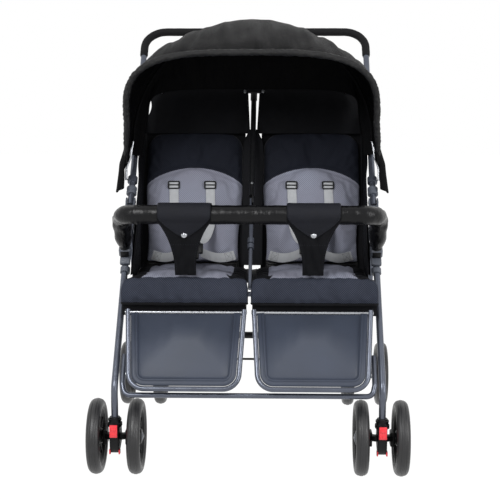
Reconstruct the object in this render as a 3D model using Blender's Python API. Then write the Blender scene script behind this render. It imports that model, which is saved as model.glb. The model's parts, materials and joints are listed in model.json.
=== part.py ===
"""Side-by-side double stroller, at rest: unfolded, brake off, leg rests down, backrests up.

Metres, +Z up, +X to the right as seen from the front, the handle at +Y. The origin is on the
floor under the middle of the whole stroller. Places are given as x to the side, the distance
back from the front axle, and the height up from the floor.
"""
import math

import bmesh
import bpy
from mathutils import Matrix, Quaternion, Vector

# Wheels: eight alike, in pairs
WHEEL_RADIUS = 0.0875
TYRE_WIDTH = 0.031
RIM_RADIUS = 0.0664
RIM_EDGE = 0.012
WHEEL_FACETS = 20
PAIR_X = 0.306
WHEEL_OFFSET = 0.046
AXLE_RADIUS = 0.004
BORE_RADIUS = 0.0045
HUB_HALF = 0.0125
REAR_AXLE_BACK = 0.58
CASTER_TRAIL = 0.030

# Frame tubes
FRONT_AXLE_Y = -0.3121
SIDE_X = 0.303
TUBE_RADIUS = 0.008
TUBE_SIDES = 8
SKIN_GAP = 0.0004
FOLD_HINGE = (0.300, 0.600)
REAR_HINGE = (0.285, 0.530)
LEG_BEND = (-0.030, 0.210)
LEG_FOOT_UP = 0.1435
HANDLE_TOP = (0.7017, 1.026)
HANDLE_CORNER = 0.058
HANDLE_BAR_AT = 0.370
CANOPY_PIVOT_AT = 0.068
GRIP_LENGTH = 0.092
GRIP_RADIUS = 0.0107

# Seats, one at each side
SEAT_X = 0.148
SEAT_HALF = 0.140
LIP_HALF = 0.1485
RECLINE_HINGE = (0.340, 0.430)
BACK_TOP = (0.500, 0.755)
BACK_X = 0.152
BACK_HALF = 0.125
LEG_REST_HINGE = (0.050, 0.371)
LEG_REST_FOOT = (-0.050, 0.215)
LEG_REST_X = 0.1468
LEG_REST_TOP_HALF = 0.1350
LEG_REST_FOOT_HALF = 0.1240
LEG_REST_CORNER = 0.037

# Canopy, in polar places about its pivots
CANOPY_THICK = 0.003
FRONT_BOW_ANGLE = math.radians(115)
MID_BOW_ANGLE = math.radians(75)
REAR_EDGE_ANGLE = math.radians(50)
FRONT_BOW_REACH = 0.359
MID_BOW_REACH = 0.420
REAR_EDGE_REACH = 0.288

SIDES = (("left", -1), ("right", 1))


def place(x, back, up):
    """The point at x to the side, this far back from the front axle and this far up."""
    return Vector((x, back + FRONT_AXLE_Y, up))


def heading(start, end):
    """The unit step in (back, up) from start to end, and their distance."""
    step = Vector((end[0] - start[0], end[1] - start[1]))
    return step.normalized(), step.length


def along(start, step, distance, off=0.0):
    """The (back, up) place this far along a line, and this far off to its upper front side."""
    return (start[0] + step[0] * distance - step[1] * off, start[1] + step[1] * distance + step[0] * off)


# Tools that make meshes
def mesh_of(shape):
    bmesh.ops.remove_doubles(shape, verts=shape.verts, dist=1e-6)
    bmesh.ops.recalc_face_normals(shape, faces=shape.faces)
    mesh = bpy.data.meshes.new("shape")
    shape.to_mesh(mesh)
    shape.free()
    return mesh


def rounded(points, bend, steps=4, closed=False):
    """The path through points with each corner turned into an arc of radius bend."""
    points = [Vector(p) for p in points]
    path = [] if closed else [points[0]]
    last = len(points)
    corners = range(last) if closed else range(1, last - 1)
    for i in corners:
        corner = points[i]
        before = (points[i - 1] - corner).normalized()
        after = (points[(i + 1) % last] - corner).normalized()
        half = before.angle(after) / 2
        centre = corner + (before + after).normalized() * bend / math.sin(half)
        start = corner + before * bend / math.tan(half) - centre
        axis = after.cross(before)
        for k in range(steps + 1):
            turn = Quaternion(axis, (math.pi - 2 * half) * k / steps)
            path.append(centre + turn @ start)
    return path if closed else path + [points[-1]]


def ring_faces(shape, rings, closed):
    """Quads between neighbouring rings of corners, each ring closed on itself."""
    pairs = list(zip(rings, rings[1:]))
    if closed:
        pairs.append((rings[-1], rings[0]))
    for low, high in pairs:
        for k in range(len(low)):
            j = (k + 1) % len(low)
            shape.faces.new((low[k], low[j], high[j], high[k]))


def sweep(points, radius, sides=TUBE_SIDES, bore=None, closed=False):
    """A round bar along points, or a pipe where bore is given, or a closed hoop."""
    points = [Vector(p) for p in points]
    last = len(points) - 1
    radii = radius if isinstance(radius, list) else [radius] * len(points)
    across = sum(((a - points[0]).cross(b - points[0]) for a, b in zip(points, points[1:])), Vector())
    if across.length < 1e-9:
        run = points[-1] - points[0]
        across = Vector((1, 0, 0)) if abs(run.x) < 0.5 * run.length else Vector((0, 0, 1))
    shape = bmesh.new()
    walls = []
    for wall in ([None] if bore is None else [None, bore]):
        rings = []
        side = across
        for i, point in enumerate(points):
            before = points[i - 1] if i or closed else point
            after = points[(i + 1) % len(points)] if i < last or closed else point
            run = (after - before).normalized()
            side = (side - run * side.dot(run)).normalized()
            other = run.cross(side)
            size = radii[i] if wall is None else wall
            turns = [2 * math.pi * (k + 0.5) / sides for k in range(sides)]
            rings.append([
                shape.verts.new(point + (side * math.cos(a) + other * math.sin(a)) * size) for a in turns
            ])
        ring_faces(shape, rings, closed)
        walls.append(rings)
    if not closed:
        for end in (0, -1):
            if bore is None:
                shape.faces.new(walls[0][end])
            else:
                ring_faces(shape, [walls[0][end], walls[1][end]], False)
    return mesh_of(shape)


def turned(profile, centre, segments=WHEEL_FACETS):
    """A ring turned about X from a closed profile of (radius, along), its radii measured to the flats."""
    grow = 1 / math.cos(math.pi / segments)
    shape = bmesh.new()
    rings = []
    for k in range(segments):
        angle = 2 * math.pi * (k + 0.5) / segments + math.pi / 2
        a, b = math.cos(angle) * grow, math.sin(angle) * grow
        rings.append([shape.verts.new(centre + Vector((h, a * r, b * r))) for r, h in profile])
    ring_faces(shape, rings, True)
    return mesh_of(shape)


def prism(outline, origin, u, v, low, high):
    """An outline of (along u, along v) given a thickness from low to high along u x v."""
    normal = u.cross(v)
    shape = bmesh.new()
    ends = [[shape.verts.new(origin + u * p + v * q + normal * h) for p, q in outline] for h in (low, high)]
    ring_faces(shape, ends, False)
    shape.faces.new(ends[0])
    shape.faces.new(ends[1])
    return mesh_of(shape)


def plate(outline, x0, x1):
    """An outline of (back, up) cut from sheet that lies between x0 and x1."""
    return prism(outline, place(0, 0, 0), Vector((0, 1, 0)), Vector((0, 0, 1)), min(x0, x1), max(x0, x1))


def capsule(start, end, radius, steps=5):
    """The outline of a strap with round ends."""
    step, length = heading(start, end)
    first = math.atan2(step[1], step[0]) + math.pi / 2
    outline = []
    for middle, angle in ((start, first), (end, first + math.pi)):
        for k in range(steps + 1):
            turn = angle + math.pi * k / steps
            outline.append((middle[0] + radius * math.cos(turn), middle[1] + radius * math.sin(turn)))
    return outline


def block(centre, size, tilt=0.0, chamfer=0.0015):
    """A box with chamfered edges, tilted about X."""
    shape = bmesh.new()
    bmesh.ops.create_cube(shape, size=1)
    bmesh.ops.scale(shape, vec=size, verts=shape.verts)
    bmesh.ops.bevel(shape, geom=shape.edges[:], offset=chamfer, segments=1, affect="EDGES")
    bmesh.ops.transform(
        shape, matrix=Matrix.Translation(centre) @ Matrix.Rotation(tilt, 4, "X"), verts=shape.verts
    )
    return mesh_of(shape)


def grids(top, bottom):
    """The closed form between two grids of points that share rows and columns."""
    shape = bmesh.new()
    rows, columns = len(top), len(top[0])
    layers = [[[shape.verts.new(p) for p in row] for row in grid] for grid in (top, bottom)]
    for layer in layers:
        for i in range(rows - 1):
            for j in range(columns - 1):
                shape.faces.new((layer[i][j], layer[i][j + 1], layer[i + 1][j + 1], layer[i + 1][j]))
    border = [(0, j) for j in range(columns)] + [(i, columns - 1) for i in range(1, rows)]
    border += [(rows - 1, j) for j in range(columns - 2, -1, -1)] + [(i, 0) for i in range(rows - 2, 0, -1)]
    for (i, j), (k, m) in zip(border, border[1:] + border[:1]):
        shape.faces.new((layers[0][i][j], layers[0][k][m], layers[1][k][m], layers[1][i][j]))
    return mesh_of(shape)


def combined(base, others, operation="UNION"):
    """The mesh of base joined with others, or cut by them."""
    holder = bpy.data.objects.new("base", base)
    tools = [bpy.data.objects.new("tool", other) for other in others]
    for thing in [holder] + tools:
        bpy.context.scene.collection.objects.link(thing)
    for tool in tools:
        modifier = holder.modifiers.new("combine", "BOOLEAN")
        modifier.operation = operation
        modifier.object = tool
    graph = bpy.context.evaluated_depsgraph_get()
    mesh = bpy.data.meshes.new_from_object(holder.evaluated_get(graph))
    for thing in [holder] + tools:
        bpy.data.objects.remove(thing)
    return mesh


# Materials, and the empties that stand for the moving bodies
FINISHES = {
    "painted_tube": ((0.09, 0.095, 0.11), 0.35, 0.6),
    "black_plastic": ((0.02, 0.02, 0.022), 0.45, 0.0),
    "grey_plastic": ((0.33, 0.34, 0.36), 0.5, 0.0),
    "steel": ((0.55, 0.55, 0.56), 0.3, 1.0),
    "tyre_foam": ((0.05, 0.05, 0.052), 0.8, 0.0),
    "black_foam": ((0.015, 0.015, 0.016), 0.75, 0.0),
    "seat_fabric": ((0.06, 0.06, 0.065), 0.85, 0.0),
    "black_fabric": ((0.012, 0.012, 0.014), 0.7, 0.0),
    "red_plastic": ((0.5, 0.02, 0.02), 0.4, 0.0),
}
bodies = {}


def finish_of(name):
    if name not in bpy.data.materials:
        colour, roughness, metallic = FINISHES[name]
        material = bpy.data.materials.new(name)
        material.use_nodes = True
        shader = material.node_tree.nodes["Principled BSDF"]
        shader.inputs["Base Color"].default_value = (*colour, 1)
        shader.inputs["Roughness"].default_value = roughness
        shader.inputs["Metallic"].default_value = metallic
    return bpy.data.materials[name]


def body(name, x, spot, parent="root"):
    """An empty on the joint's axis, which carries the pieces of one moving body."""
    empty = bpy.data.objects.new(name + "_body", None)
    bpy.context.scene.collection.objects.link(empty)
    pivot = place(x, *spot)
    if parent in bodies:
        empty.parent = bodies[parent][0]
        empty.location = pivot - bodies[parent][1]
    else:
        empty.location = pivot
    bodies[name] = (empty, pivot)


def node(name, mesh, finish, on):
    """A named piece, with its origin on the pivot of the body that carries it."""
    empty, pivot = bodies[on]
    mesh.transform(Matrix.Translation(-pivot))
    mesh.materials.clear()
    mesh.materials.append(finish_of(finish))
    mesh.shade_smooth()
    mesh.set_sharp_from_angle(angle=math.radians(40))
    piece = bpy.data.objects.new(name, mesh)
    bpy.context.scene.collection.objects.link(piece)
    piece.parent = empty


def make_bodies():
    body("root", 0, (0, 0), None)
    body("handle_frame", 0, FOLD_HINGE)
    body("rear_frame", 0, REAR_HINGE)
    body("brake", 0, (REAR_AXLE_BACK, WHEEL_RADIUS), "rear_frame")
    body("canopy_front", 0, CANOPY_PIVOT, "handle_frame")
    body("canopy_mid", 0, CANOPY_PIVOT, "handle_frame")
    body("bumper", 0, BUMPER_END)
    for side, s in SIDES:
        body(f"caster_{side}", s * PAIR_X, (-CASTER_TRAIL, WHEEL_RADIUS))
        body(f"swivel_lock_{side}", s * PAIR_X, SWIVEL_LOCK_HINGE, f"caster_{side}")
        body(f"lock_collar_{side}", s * SIDE_X, FOLD_HINGE, "handle_frame")
        body(f"backrest_{side}", s * BACK_X, RECLINE_HINGE)
        body(f"leg_rest_{side}", s * LEG_REST_X, LEG_REST_HINGE)
        for row, back in (("front", 0), ("rear", REAR_AXLE_BACK)):
            carrier = f"caster_{side}" if row == "front" else "rear_frame"
            for name, off in (("outer", WHEEL_OFFSET), ("inner", -WHEEL_OFFSET)):
                spot = (back, WHEEL_RADIUS)
                body(f"{row}_wheel_{side}_{name}", s * (PAIR_X + off), spot, carrier)


# Wheels
def tyre(centre):
    half = TYRE_WIDTH / 2
    wall = [(WHEEL_RADIUS, 0.008), (0.0835, 0.0135), (0.0755, half), (RIM_RADIUS + SKIN_GAP, RIM_EDGE)]
    profile = [(r, -h) for r, h in wall] + [(r, h) for r, h in reversed(wall)]
    return turned(profile, centre)


def rim(centre):
    wall = [(RIM_RADIUS, RIM_EDGE), (0.0575, 0.005), (0.018, 0.005), (0.0135, HUB_HALF), (BORE_RADIUS, HUB_HALF)]
    profile = [(r, -h) for r, h in wall] + [(r, h) for r, h in reversed(wall)]
    return turned(profile, centre)


def make_wheels():
    for row, back in (("front", 0), ("rear", REAR_AXLE_BACK)):
        for side, s in SIDES:
            for name, off in (("outer", WHEEL_OFFSET), ("inner", -WHEEL_OFFSET)):
                centre = place(s * (PAIR_X + off), back, WHEEL_RADIUS)
                on = f"{row}_wheel_{side}_{name}"
                node(f"{row}_tyre_{side}_{name}", tyre(centre), "tyre_foam", on)
                node(f"{row}_rim_{side}_{name}", rim(centre), "black_plastic", on)


# Front casters
COLUMN_HALF = 0.0110
ARM_RADIUS = 0.0085
HUB_BLOCK = (0.0120, 0.030, 0.034)
HUB_BLOCK_X = 0.0265
AXLE_HALF = 0.0625
SWIVEL_LOCK_HINGE = (-0.0575, 0.128)


def make_casters():
    """A slim column over the axle, with a block at each side that the axle passes through."""
    foot = -CASTER_TRAIL
    shell = [
        (foot - 0.022, 0.128), (foot + 0.020, 0.128), (0.014, 0.106), (0.019, 0.088),
        (0.012, 0.062), (-0.008, 0.054), (-0.030, 0.058), (foot - 0.022, 0.080), (foot - 0.024, 0.100),
    ]
    for side, s in SIDES:
        x = s * PAIR_X
        axle_line = [place(x - AXLE_HALF, 0, WHEEL_RADIUS), place(x + AXLE_HALF, 0, WHEEL_RADIUS)]
        arms = [place(x + k * HUB_BLOCK_X, 0, WHEEL_RADIUS + 0.004) for k in (-1, 1)]
        stem = [place(x, foot, 0.120), place(x, foot, LEG_FOOT_UP - SKIN_GAP)]
        blocks = [block(place(x + k * HUB_BLOCK_X, 0, WHEEL_RADIUS), HUB_BLOCK) for k in (-1, 1)]
        housing = combined(
            plate(shell, x - COLUMN_HALF, x + COLUMN_HALF),
            [sweep(arms, ARM_RADIUS, 10), sweep(stem, 0.0155, 12)] + blocks,
        )
        housing = combined(housing, [sweep(axle_line, BORE_RADIUS + 0.0002)], "DIFFERENCE")
        node(f"caster_housing_{side}", housing, "black_plastic", f"caster_{side}")
        node(f"front_axle_{side}", sweep(axle_line, AXLE_RADIUS), "steel", f"caster_{side}")
        lever = block(place(x, foot - 0.0285, 0.1165), (0.017, 0.006, 0.024))
        node(f"swivel_lock_{side}", lever, "red_plastic", f"swivel_lock_{side}")


# Front frame
LEG_STEP, LEG_LENGTH = heading(FOLD_HINGE, LEG_BEND)
LEG_TOP_AT = 0.0195
HANDLE_STEP, HANDLE_LENGTH = heading(FOLD_HINGE, HANDLE_TOP)
CANOPY_PIVOT = along(FOLD_HINGE, HANDLE_STEP, CANOPY_PIVOT_AT)
CHEEK_LOW = 0.0085
CHEEK_HIGH = 0.0115
CHEEK_RADIUS = 0.011
CROSS_TUBE_RADIUS = 0.0062
CROSS_TUBE_X = SIDE_X - TUBE_RADIUS - CROSS_TUBE_RADIUS - SKIN_GAP
SEAT_FRAME_RADIUS = 0.006
SEAT_FRAME_UP = 0.405
SEAT_FRAME_X = 0.283
SEAT_FRAME_BACK = (0.100, 0.330)
BUMPER_END = (0.171, 0.506)
BUMPER_RADIUS = 0.0225


def make_front_legs():
    for side, s in SIDES:
        x = s * SIDE_X
        foot = s * PAIR_X
        top = along(FOLD_HINGE, LEG_STEP, LEG_TOP_AT)
        ends = [place(foot, -CASTER_TRAIL, LEG_FOOT_UP), place(foot, *LEG_BEND), place(x, *top)]
        node(f"front_leg_{side}", sweep(rounded(ends, 0.045), TUBE_RADIUS), "painted_tube", "root")


def make_hinge_brackets():
    """Two cheeks along the leg's top, which carry the handle's pivot and the rear leg's."""
    for side, s in SIDES:
        x = s * SIDE_X
        foot = along(FOLD_HINGE, LEG_STEP, 0.066)
        parts = []
        for low, high in ((-CHEEK_HIGH, -CHEEK_LOW), (CHEEK_LOW, CHEEK_HIGH)):
            spine = plate(capsule(FOLD_HINGE, foot, CHEEK_RADIUS), x + low, x + high)
            branch = plate(capsule(foot, REAR_HINGE, CHEEK_RADIUS - 0.0005), x + low + 0.0001, x + high - 0.0001)
            parts += [spine, branch]
        middle = place(x, *along(FOLD_HINGE, LEG_STEP, 0.0169))
        tilt = math.atan2(LEG_STEP[1], LEG_STEP[0]) - math.pi / 2
        bridge = block(middle, (2 * CHEEK_HIGH - 0.001, 0.016, 0.0045), tilt, 0.0005)
        node(f"hinge_bracket_{side}", combined(bridge, parts), "black_plastic", "root")


def make_front_cross_tube():
    """A shallow U between the legs, its ends bolted to their inner sides."""
    end = along(LEG_BEND, (-LEG_STEP[0], -LEG_STEP[1]), 0.085)
    low = along(LEG_BEND, (-LEG_STEP[0], -LEG_STEP[1]), 0.012)
    half = [place(CROSS_TUBE_X, *end), place(CROSS_TUBE_X, *low), place(CROSS_TUBE_X - 0.006, -0.036, 0.196)]
    path = half + [Vector((-p.x, p.y, p.z)) for p in reversed(half)]
    node("front_cross_tube", sweep(rounded(path, 0.016), CROSS_TUBE_RADIUS), "painted_tube", "root")


def make_seat_frame():
    """A hoop of tube under both seats, with a lug to each front leg."""
    front, rear = SEAT_FRAME_BACK
    corners = [(1, rear), (1, front), (-1, front), (-1, rear)]
    path = [place(s * SEAT_FRAME_X, back, SEAT_FRAME_UP) for s, back in corners]
    hoop = sweep(rounded(path, 0.030, closed=True), SEAT_FRAME_RADIUS, closed=True)
    leg_back = along(LEG_BEND, (-LEG_STEP[0], -LEG_STEP[1]), 0.2555)[0]
    inner = SIDE_X - TUBE_RADIUS - SKIN_GAP
    lugs = [
        block(place(s * (SEAT_FRAME_X + inner) / 2, leg_back, SEAT_FRAME_UP),
              (inner - SEAT_FRAME_X, 0.024, 0.008), 0, 0.001)
        for _, s in SIDES
    ]
    node("seat_frame", combined(hoop, lugs), "painted_tube", "root")


def make_centre_strut():
    """The slim tube between the seats, from the seat frame up to the middle fold hinge."""
    start = (SEAT_FRAME_BACK[0] + 0.012, SEAT_FRAME_UP + 0.010)
    step, length = heading(start, FOLD_HINGE)
    top = along(start, step, length - 0.017)
    tube = sweep([place(0, *start), place(0, *top)], 0.0045)
    ring = along(start, step, 0.120), along(start, step, 0.150)
    sleeve = sweep([place(0, *ring[0]), place(0, *ring[1])], 0.0075)
    tongue = plate(capsule(along(start, step, length - 0.028), FOLD_HINGE, 0.008), -0.0046, -SKIN_GAP / 2)
    node("centre_strut", combined(tube, [sleeve, tongue]), "painted_tube", "root")


def make_bumper_sockets():
    """The plastic sockets on the front legs that the bumper bar plugs into."""
    bumper_step = heading(BUMPER_END, (0.118, 0.585))[0]
    tilt = math.atan2(bumper_step[1], bumper_step[0]) - math.pi / 2
    leg_tilt = math.atan2(LEG_STEP[1], LEG_STEP[0]) + math.pi / 2
    for side, s in SIDES:
        x = s * SIDE_X
        middle = along(BUMPER_END, bumper_step, -0.0135)
        cup = block(place(x, *middle), (0.029, 0.024, 0.026), tilt, 0.004)
        leg_spot = along(LEG_BEND, (-LEG_STEP[0], -LEG_STEP[1]), 0.338)
        saddle = block(place(x, *along(leg_spot, LEG_STEP, 0, -0.0125)), (0.024, 0.012, 0.034), leg_tilt, 0.002)
        line = [place(x, *along(leg_spot, LEG_STEP, -0.04)), place(x, *along(leg_spot, LEG_STEP, 0.04))]
        socket = combined(cup, [saddle])
        socket = combined(socket, [sweep(line, TUBE_RADIUS + SKIN_GAP * 1.5, 16)], "DIFFERENCE")
        node(f"bumper_socket_{side}", socket, "black_plastic", "root")


# Seats
def wave(value, centre, width):
    """A smooth bump of height 1 about centre, 0 beyond width."""
    reach = abs(value - centre) / width
    return 0.5 + 0.5 * math.cos(math.pi * reach) if reach < 1 else 0.0


SEAT_TOP = [
    (0.318, 0.424), (0.306, 0.434), (0.270, 0.436), (0.235, 0.434), (0.200, 0.439), (0.160, 0.442),
    (0.120, 0.446), (0.086, 0.448), (0.068, 0.441), (0.059, 0.424), (0.058, 0.402), (0.064, 0.385),
]
SEAT_BASE = [
    (0.317, 0.4125), (0.304, 0.4125), (0.268, 0.4125), (0.235, 0.4125), (0.200, 0.4125), (0.160, 0.4125),
    (0.125, 0.4125), (0.093, 0.4125), (0.0925, 0.408), (0.0922, 0.400), (0.0918, 0.392), (0.086, 0.384),
]
SEAT_CHANNELS = (0.235, 0.165)
WING_X = (0.2785, 0.2865)
WING = [
    (0.140, 0.436), (0.160, 0.462), (0.276, 0.574), (0.312, 0.574), (0.350, 0.645), (0.395, 0.693),
    (0.447, 0.752), (0.484, 0.752), (0.400, 0.575), (0.345, 0.440), (0.312, 0.430), (0.200, 0.426),
]
DIVIDER_X = (0.0078, 0.0245)
DIVIDER_FOOT = (0.303, 0.424)
DIVIDER_THICK = 0.0016


def seat_pad(s):
    """The pad with its crown, two cross channels, sides drawn in, and a lip rolled over the front."""
    columns = 13
    top, base = [], []
    for (back, up), (low_back, low_up) in zip(SEAT_TOP, SEAT_BASE):
        on_lip = min(1.0, max(0.0, (0.098 - back) / 0.012))
        waist = 0.004 * wave(back, 0.200, 0.110)
        half = SEAT_HALF - waist + (LIP_HALF - SEAT_HALF) * on_lip
        centre = SEAT_X + (0.1527 - SEAT_X) * on_lip
        channel = max(wave(back, at, 0.016) for at in SEAT_CHANNELS)
        top_row, base_row = [], []
        for j in range(columns):
            t = 2 * j / (columns - 1) - 1
            crown = (1 - abs(t) ** 4)
            lift = (0.006 * (1 - t * t) - 0.004 * channel * crown) * (1 - on_lip)
            edge = (up - low_up) * 0.35 * (1 - crown) * (1 - on_lip)
            x = s * (centre + half * t)
            top_row.append(place(x, back + 0.003 * on_lip * (1 - crown) * 2, up + lift - edge))
            base_row.append(place(x, low_back, low_up))
        top.append(top_row)
        base.append(base_row)
    return grids(top, base)


BACK_STEP, BACK_LENGTH = heading(RECLINE_HINGE, BACK_TOP)


def make_seats():
    """Each pad with its outer side wall, and its half of the divider between the backrests."""
    top = along(RECLINE_HINGE, BACK_STEP, BACK_LENGTH - 0.004, 0.004)
    step, length = heading(DIVIDER_FOOT, top)
    divider = [along(DIVIDER_FOOT, step, d, off * DIVIDER_THICK)
               for d, off in ((0, 1), (0, -1), (length, -1), (length, 1))]
    for side, s in SIDES:
        wing = plate(WING, s * WING_X[0], s * WING_X[1])
        inner = plate(divider, s * DIVIDER_X[0], s * DIVIDER_X[1])
        node(f"seat_cushion_{side}", combined(seat_pad(s), [wing, inner]), "seat_fabric", "root")


def back_half(a):
    """Half the backrest's width at a along it: rounded at its top, a little narrower low down."""
    corner = 0.045
    over = max(0.0, a - (BACK_LENGTH - corner)) / corner
    return (BACK_HALF - 0.010 * wave(a, 0.06, 0.15)) - corner * (1 - math.sqrt(max(0.0, 1 - over * over * 0.9)))


def back_pad(s):
    """A padded back with a raised border round a sunk insert with an arched top."""
    rows, columns = 15, 13
    front, rear = [], []
    for i in range(rows):
        a = 0.012 + (BACK_LENGTH - 0.012) * i / (rows - 1)
        end = min(1.0, 4 * i / (rows - 1), 4 * (rows - 1 - i) / (rows - 1))
        front_row, rear_row = [], []
        for j in range(columns):
            t = 2 * j / (columns - 1) - 1
            x = s * (BACK_X + back_half(a) * t)
            arch = 0.262 - 0.042 * t * t
            seam = max(wave(a, arch, 0.022), wave(abs(t), 0.86, 0.10) if a < arch else 0.0)
            puff = (1 - abs(t) ** 6) * (0.35 + 0.65 * math.sqrt(end))
            thick = 0.004 + 0.018 * puff - 0.0045 * seam * puff
            front_row.append(place(x, *along(RECLINE_HINGE, BACK_STEP, a, thick)))
            rear_row.append(place(x, *along(RECLINE_HINGE, BACK_STEP, a, -0.0035)))
        front.append(front_row)
        rear.append(rear_row)
    return grids(front, rear)


def make_backrests():
    """Each backrest turns on a barrel at its foot. The board is behind the pad."""
    for side, s in SIDES:
        barrel = [place(s * (BACK_X + x), *RECLINE_HINGE) for x in (-0.112, 0.112)]
        rows = [[], []]
        for i in range(9):
            a = BACK_LENGTH * i / 8 - 0.001
            for row, off in zip(rows, (-0.0041, -0.0100)):
                spot = along(RECLINE_HINGE, BACK_STEP, a, off)
                row.append([place(s * (BACK_X + back_half(a) * t), *spot) for t in (-1, 1)])
        board = combined(grids(*rows), [sweep(barrel, 0.0062, 10)])
        node(f"backrest_board_{side}", board, "black_plastic", f"backrest_{side}")
        node(f"backrest_pad_{side}", back_pad(s), "seat_fabric", f"backrest_{side}")


def make_leg_rests():
    """A U of tube with a thin rod across its top, which it turns about, round a moulded panel."""
    step, length = heading(LEG_REST_HINGE, LEG_REST_FOOT)
    across, down = Vector((1, 0, 0)), Vector((0, step[0], step[1]))
    tube, rod, tail = 0.006, 0.0035, 0.006

    def half_at(a):
        return LEG_REST_TOP_HALF + (LEG_REST_FOOT_HALF - LEG_REST_TOP_HALF) * a / length

    for side, s in SIDES:
        origin = place(s * LEG_REST_X, *LEG_REST_HINGE)
        spots = [(1, -tail), (1, length), (-1, length), (-1, -tail)]
        path = [origin + across * half_at(a) * k + down * a for k, a in spots]
        ends = [origin + across * LEG_REST_TOP_HALF * k for k in (-1, 1)]
        hoop = combined(sweep(rounded(path, LEG_REST_CORNER), tube), [sweep(ends, rod)])
        node(f"leg_rest_frame_{side}", hoop, "painted_tube", f"leg_rest_{side}")
        gap = tube + SKIN_GAP
        low, high = rod + SKIN_GAP, length - gap
        corners = [(k * (half_at(a) - gap), a, 0) for k, a in ((1, low), (1, high), (-1, high), (-1, low))]
        outline = [(p.x, p.y) for p in rounded(corners, LEG_REST_CORNER - gap)]
        panel = prism(outline, origin, across, down, -0.003, 0.003)
        ridge = [(x * 0.92, low + 0.004 + (a - low) * 0.90) for x, a in outline]
        raised = prism(ridge, origin, across, down, -0.002, 0.0065)
        node(f"leg_rest_panel_{side}", combined(panel, [raised]), "grey_plastic", f"leg_rest_{side}")


# Bumper bar, and the fabric pieces that wrap over it
def make_bumper():
    knee = (0.050, 0.600)
    half = [place(SIDE_X, *BUMPER_END), place(SIDE_X, 0.118, 0.585), place(0.285, *knee)]
    path = rounded(half + [Vector((-p.x, p.y, p.z)) for p in reversed(half)], 0.042, 3)
    radii = [0.0118] + [BUMPER_RADIUS if 2 <= i < len(path) - 2 else 0.0165 for i in range(1, len(path) - 1)]
    node("bumper_bar", sweep(path, radii + [0.0118], 10), "black_foam", "bumper")
    for side, s in SIDES:
        node(f"crotch_piece_{side}", crotch_piece(s), "black_fabric", "root")


def crotch_piece(s):
    """A strap as wide as a hand over the bar, which narrows to the seat's front edge."""
    centre, wrap = (0.050, 0.600), BUMPER_RADIUS + 0.002
    thick = 0.0032
    spots = []
    for k in range(11):
        angle = math.radians(-40 + 250 * k / 10)
        pair = [(centre[0] + r * math.cos(angle), centre[1] + r * math.sin(angle)) for r in (wrap, wrap + thick)]
        spots.append((pair, 0.062))
    end = (0.0665, 0.4545)
    start = spots[-1][0]
    for k in range(1, 7):
        f = k / 6
        pair = [(p[0] + (end[0] - (0 if i == 0 else thick) - p[0]) * f, p[1] + (end[1] - p[1]) * f)
                for i, p in enumerate(start)]
        spots.append((pair, 0.0245 + 0.0375 * (1 - f) ** 2.6))
    inner, outer = [], []
    for (low, high), half in spots:
        xs = [s * SEAT_X + half * t for t in (-1, -0.5, 0, 0.5, 1)]
        inner.append([place(x, *low) for x in xs])
        outer.append([place(x, *high) for x in xs])
    return grids(outer, inner)


# Rear frame
REAR_STEP, REAR_LENGTH = heading(REAR_HINGE, (REAR_AXLE_BACK, WHEEL_RADIUS))
REAR_TUBE_END = 0.488
REAR_CROSS_AT = 0.3786
REAR_BOSS_RADIUS = 0.013
LINK_BAR = (0.497, 0.148)
ARM_X = (0.2765, 0.2825)


def make_rear_frame():
    rear_axle = (REAR_AXLE_BACK, WHEEL_RADIUS)
    for side, s in SIDES:
        x, foot = s * SIDE_X, s * PAIR_X
        line = [place(x, *along(REAR_HINGE, REAR_STEP, d)) for d in (-0.009, REAR_TUBE_END)]
        node(f"rear_leg_{side}", sweep(line, TUBE_RADIUS), "painted_tube", "rear_frame")
        shell = [
            along(REAR_HINGE, REAR_STEP, d, off)
            for d, off in (
                (REAR_TUBE_END + SKIN_GAP, 0.013), (0.515, 0.016), (0.538, 0.016), (0.548, 0.008),
                (0.548, -0.008), (0.538, -0.016), (0.515, -0.016), (REAR_TUBE_END + SKIN_GAP, -0.013),
            )
        ]
        boss = [place(foot + x, *rear_axle) for x in (-0.0225, 0.0225)]
        axle = [place(foot + x, *rear_axle) for x in (-AXLE_HALF, AXLE_HALF)]
        mount = combined(plate(shell, foot - 0.0195, foot + 0.0195),
                         [sweep(boss, REAR_BOSS_RADIUS, 12), sweep(axle, AXLE_RADIUS)])
        node(f"rear_wheel_mount_{side}", mount, "black_plastic", "rear_frame")
    spot = along(REAR_HINGE, REAR_STEP, REAR_CROSS_AT)
    inner = SIDE_X - TUBE_RADIUS - SKIN_GAP
    bar = sweep([place(-inner, *spot), place(inner, *spot)], 0.009)
    node("rear_cross_tube", bar, "black_plastic", "rear_frame")


def make_brake():
    """A thin bar that joins the two brake arms, each with its pedal behind the wheel mount."""
    rear_axle = (REAR_AXLE_BACK, WHEEL_RADIUS)
    pedal = (REAR_AXLE_BACK + 0.043, WHEEL_RADIUS + 0.030)
    bar = sweep([place(-ARM_X[1] + 0.001, *LINK_BAR), place(ARM_X[1] - 0.001, *LINK_BAR)], 0.003)
    parts, bores = [], []
    for _, s in SIDES:
        low, high = s * ARM_X[0], s * ARM_X[1]
        parts.append(plate(capsule(LINK_BAR, rear_axle, 0.0065), low, high))
        parts.append(plate(capsule(rear_axle, pedal, 0.0068), low + s * 0.0001, high - s * 0.0001))
        middle = place(s * (ARM_X[0] + 0.323) / 2, *pedal)
        parts.append(block(middle, (0.323 - ARM_X[0] - 0.0004, 0.026, 0.009), math.radians(12), 0.002))
        bores.append(sweep([place(low - s * 0.01, *rear_axle), place(high + s * 0.01, *rear_axle)], BORE_RADIUS))
    brake = combined(combined(bar, parts), bores, "DIFFERENCE")
    node("parking_brake", brake, "grey_plastic", "brake")


# Handle frame
COLLAR_AT = (0.022, 0.044)


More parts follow.
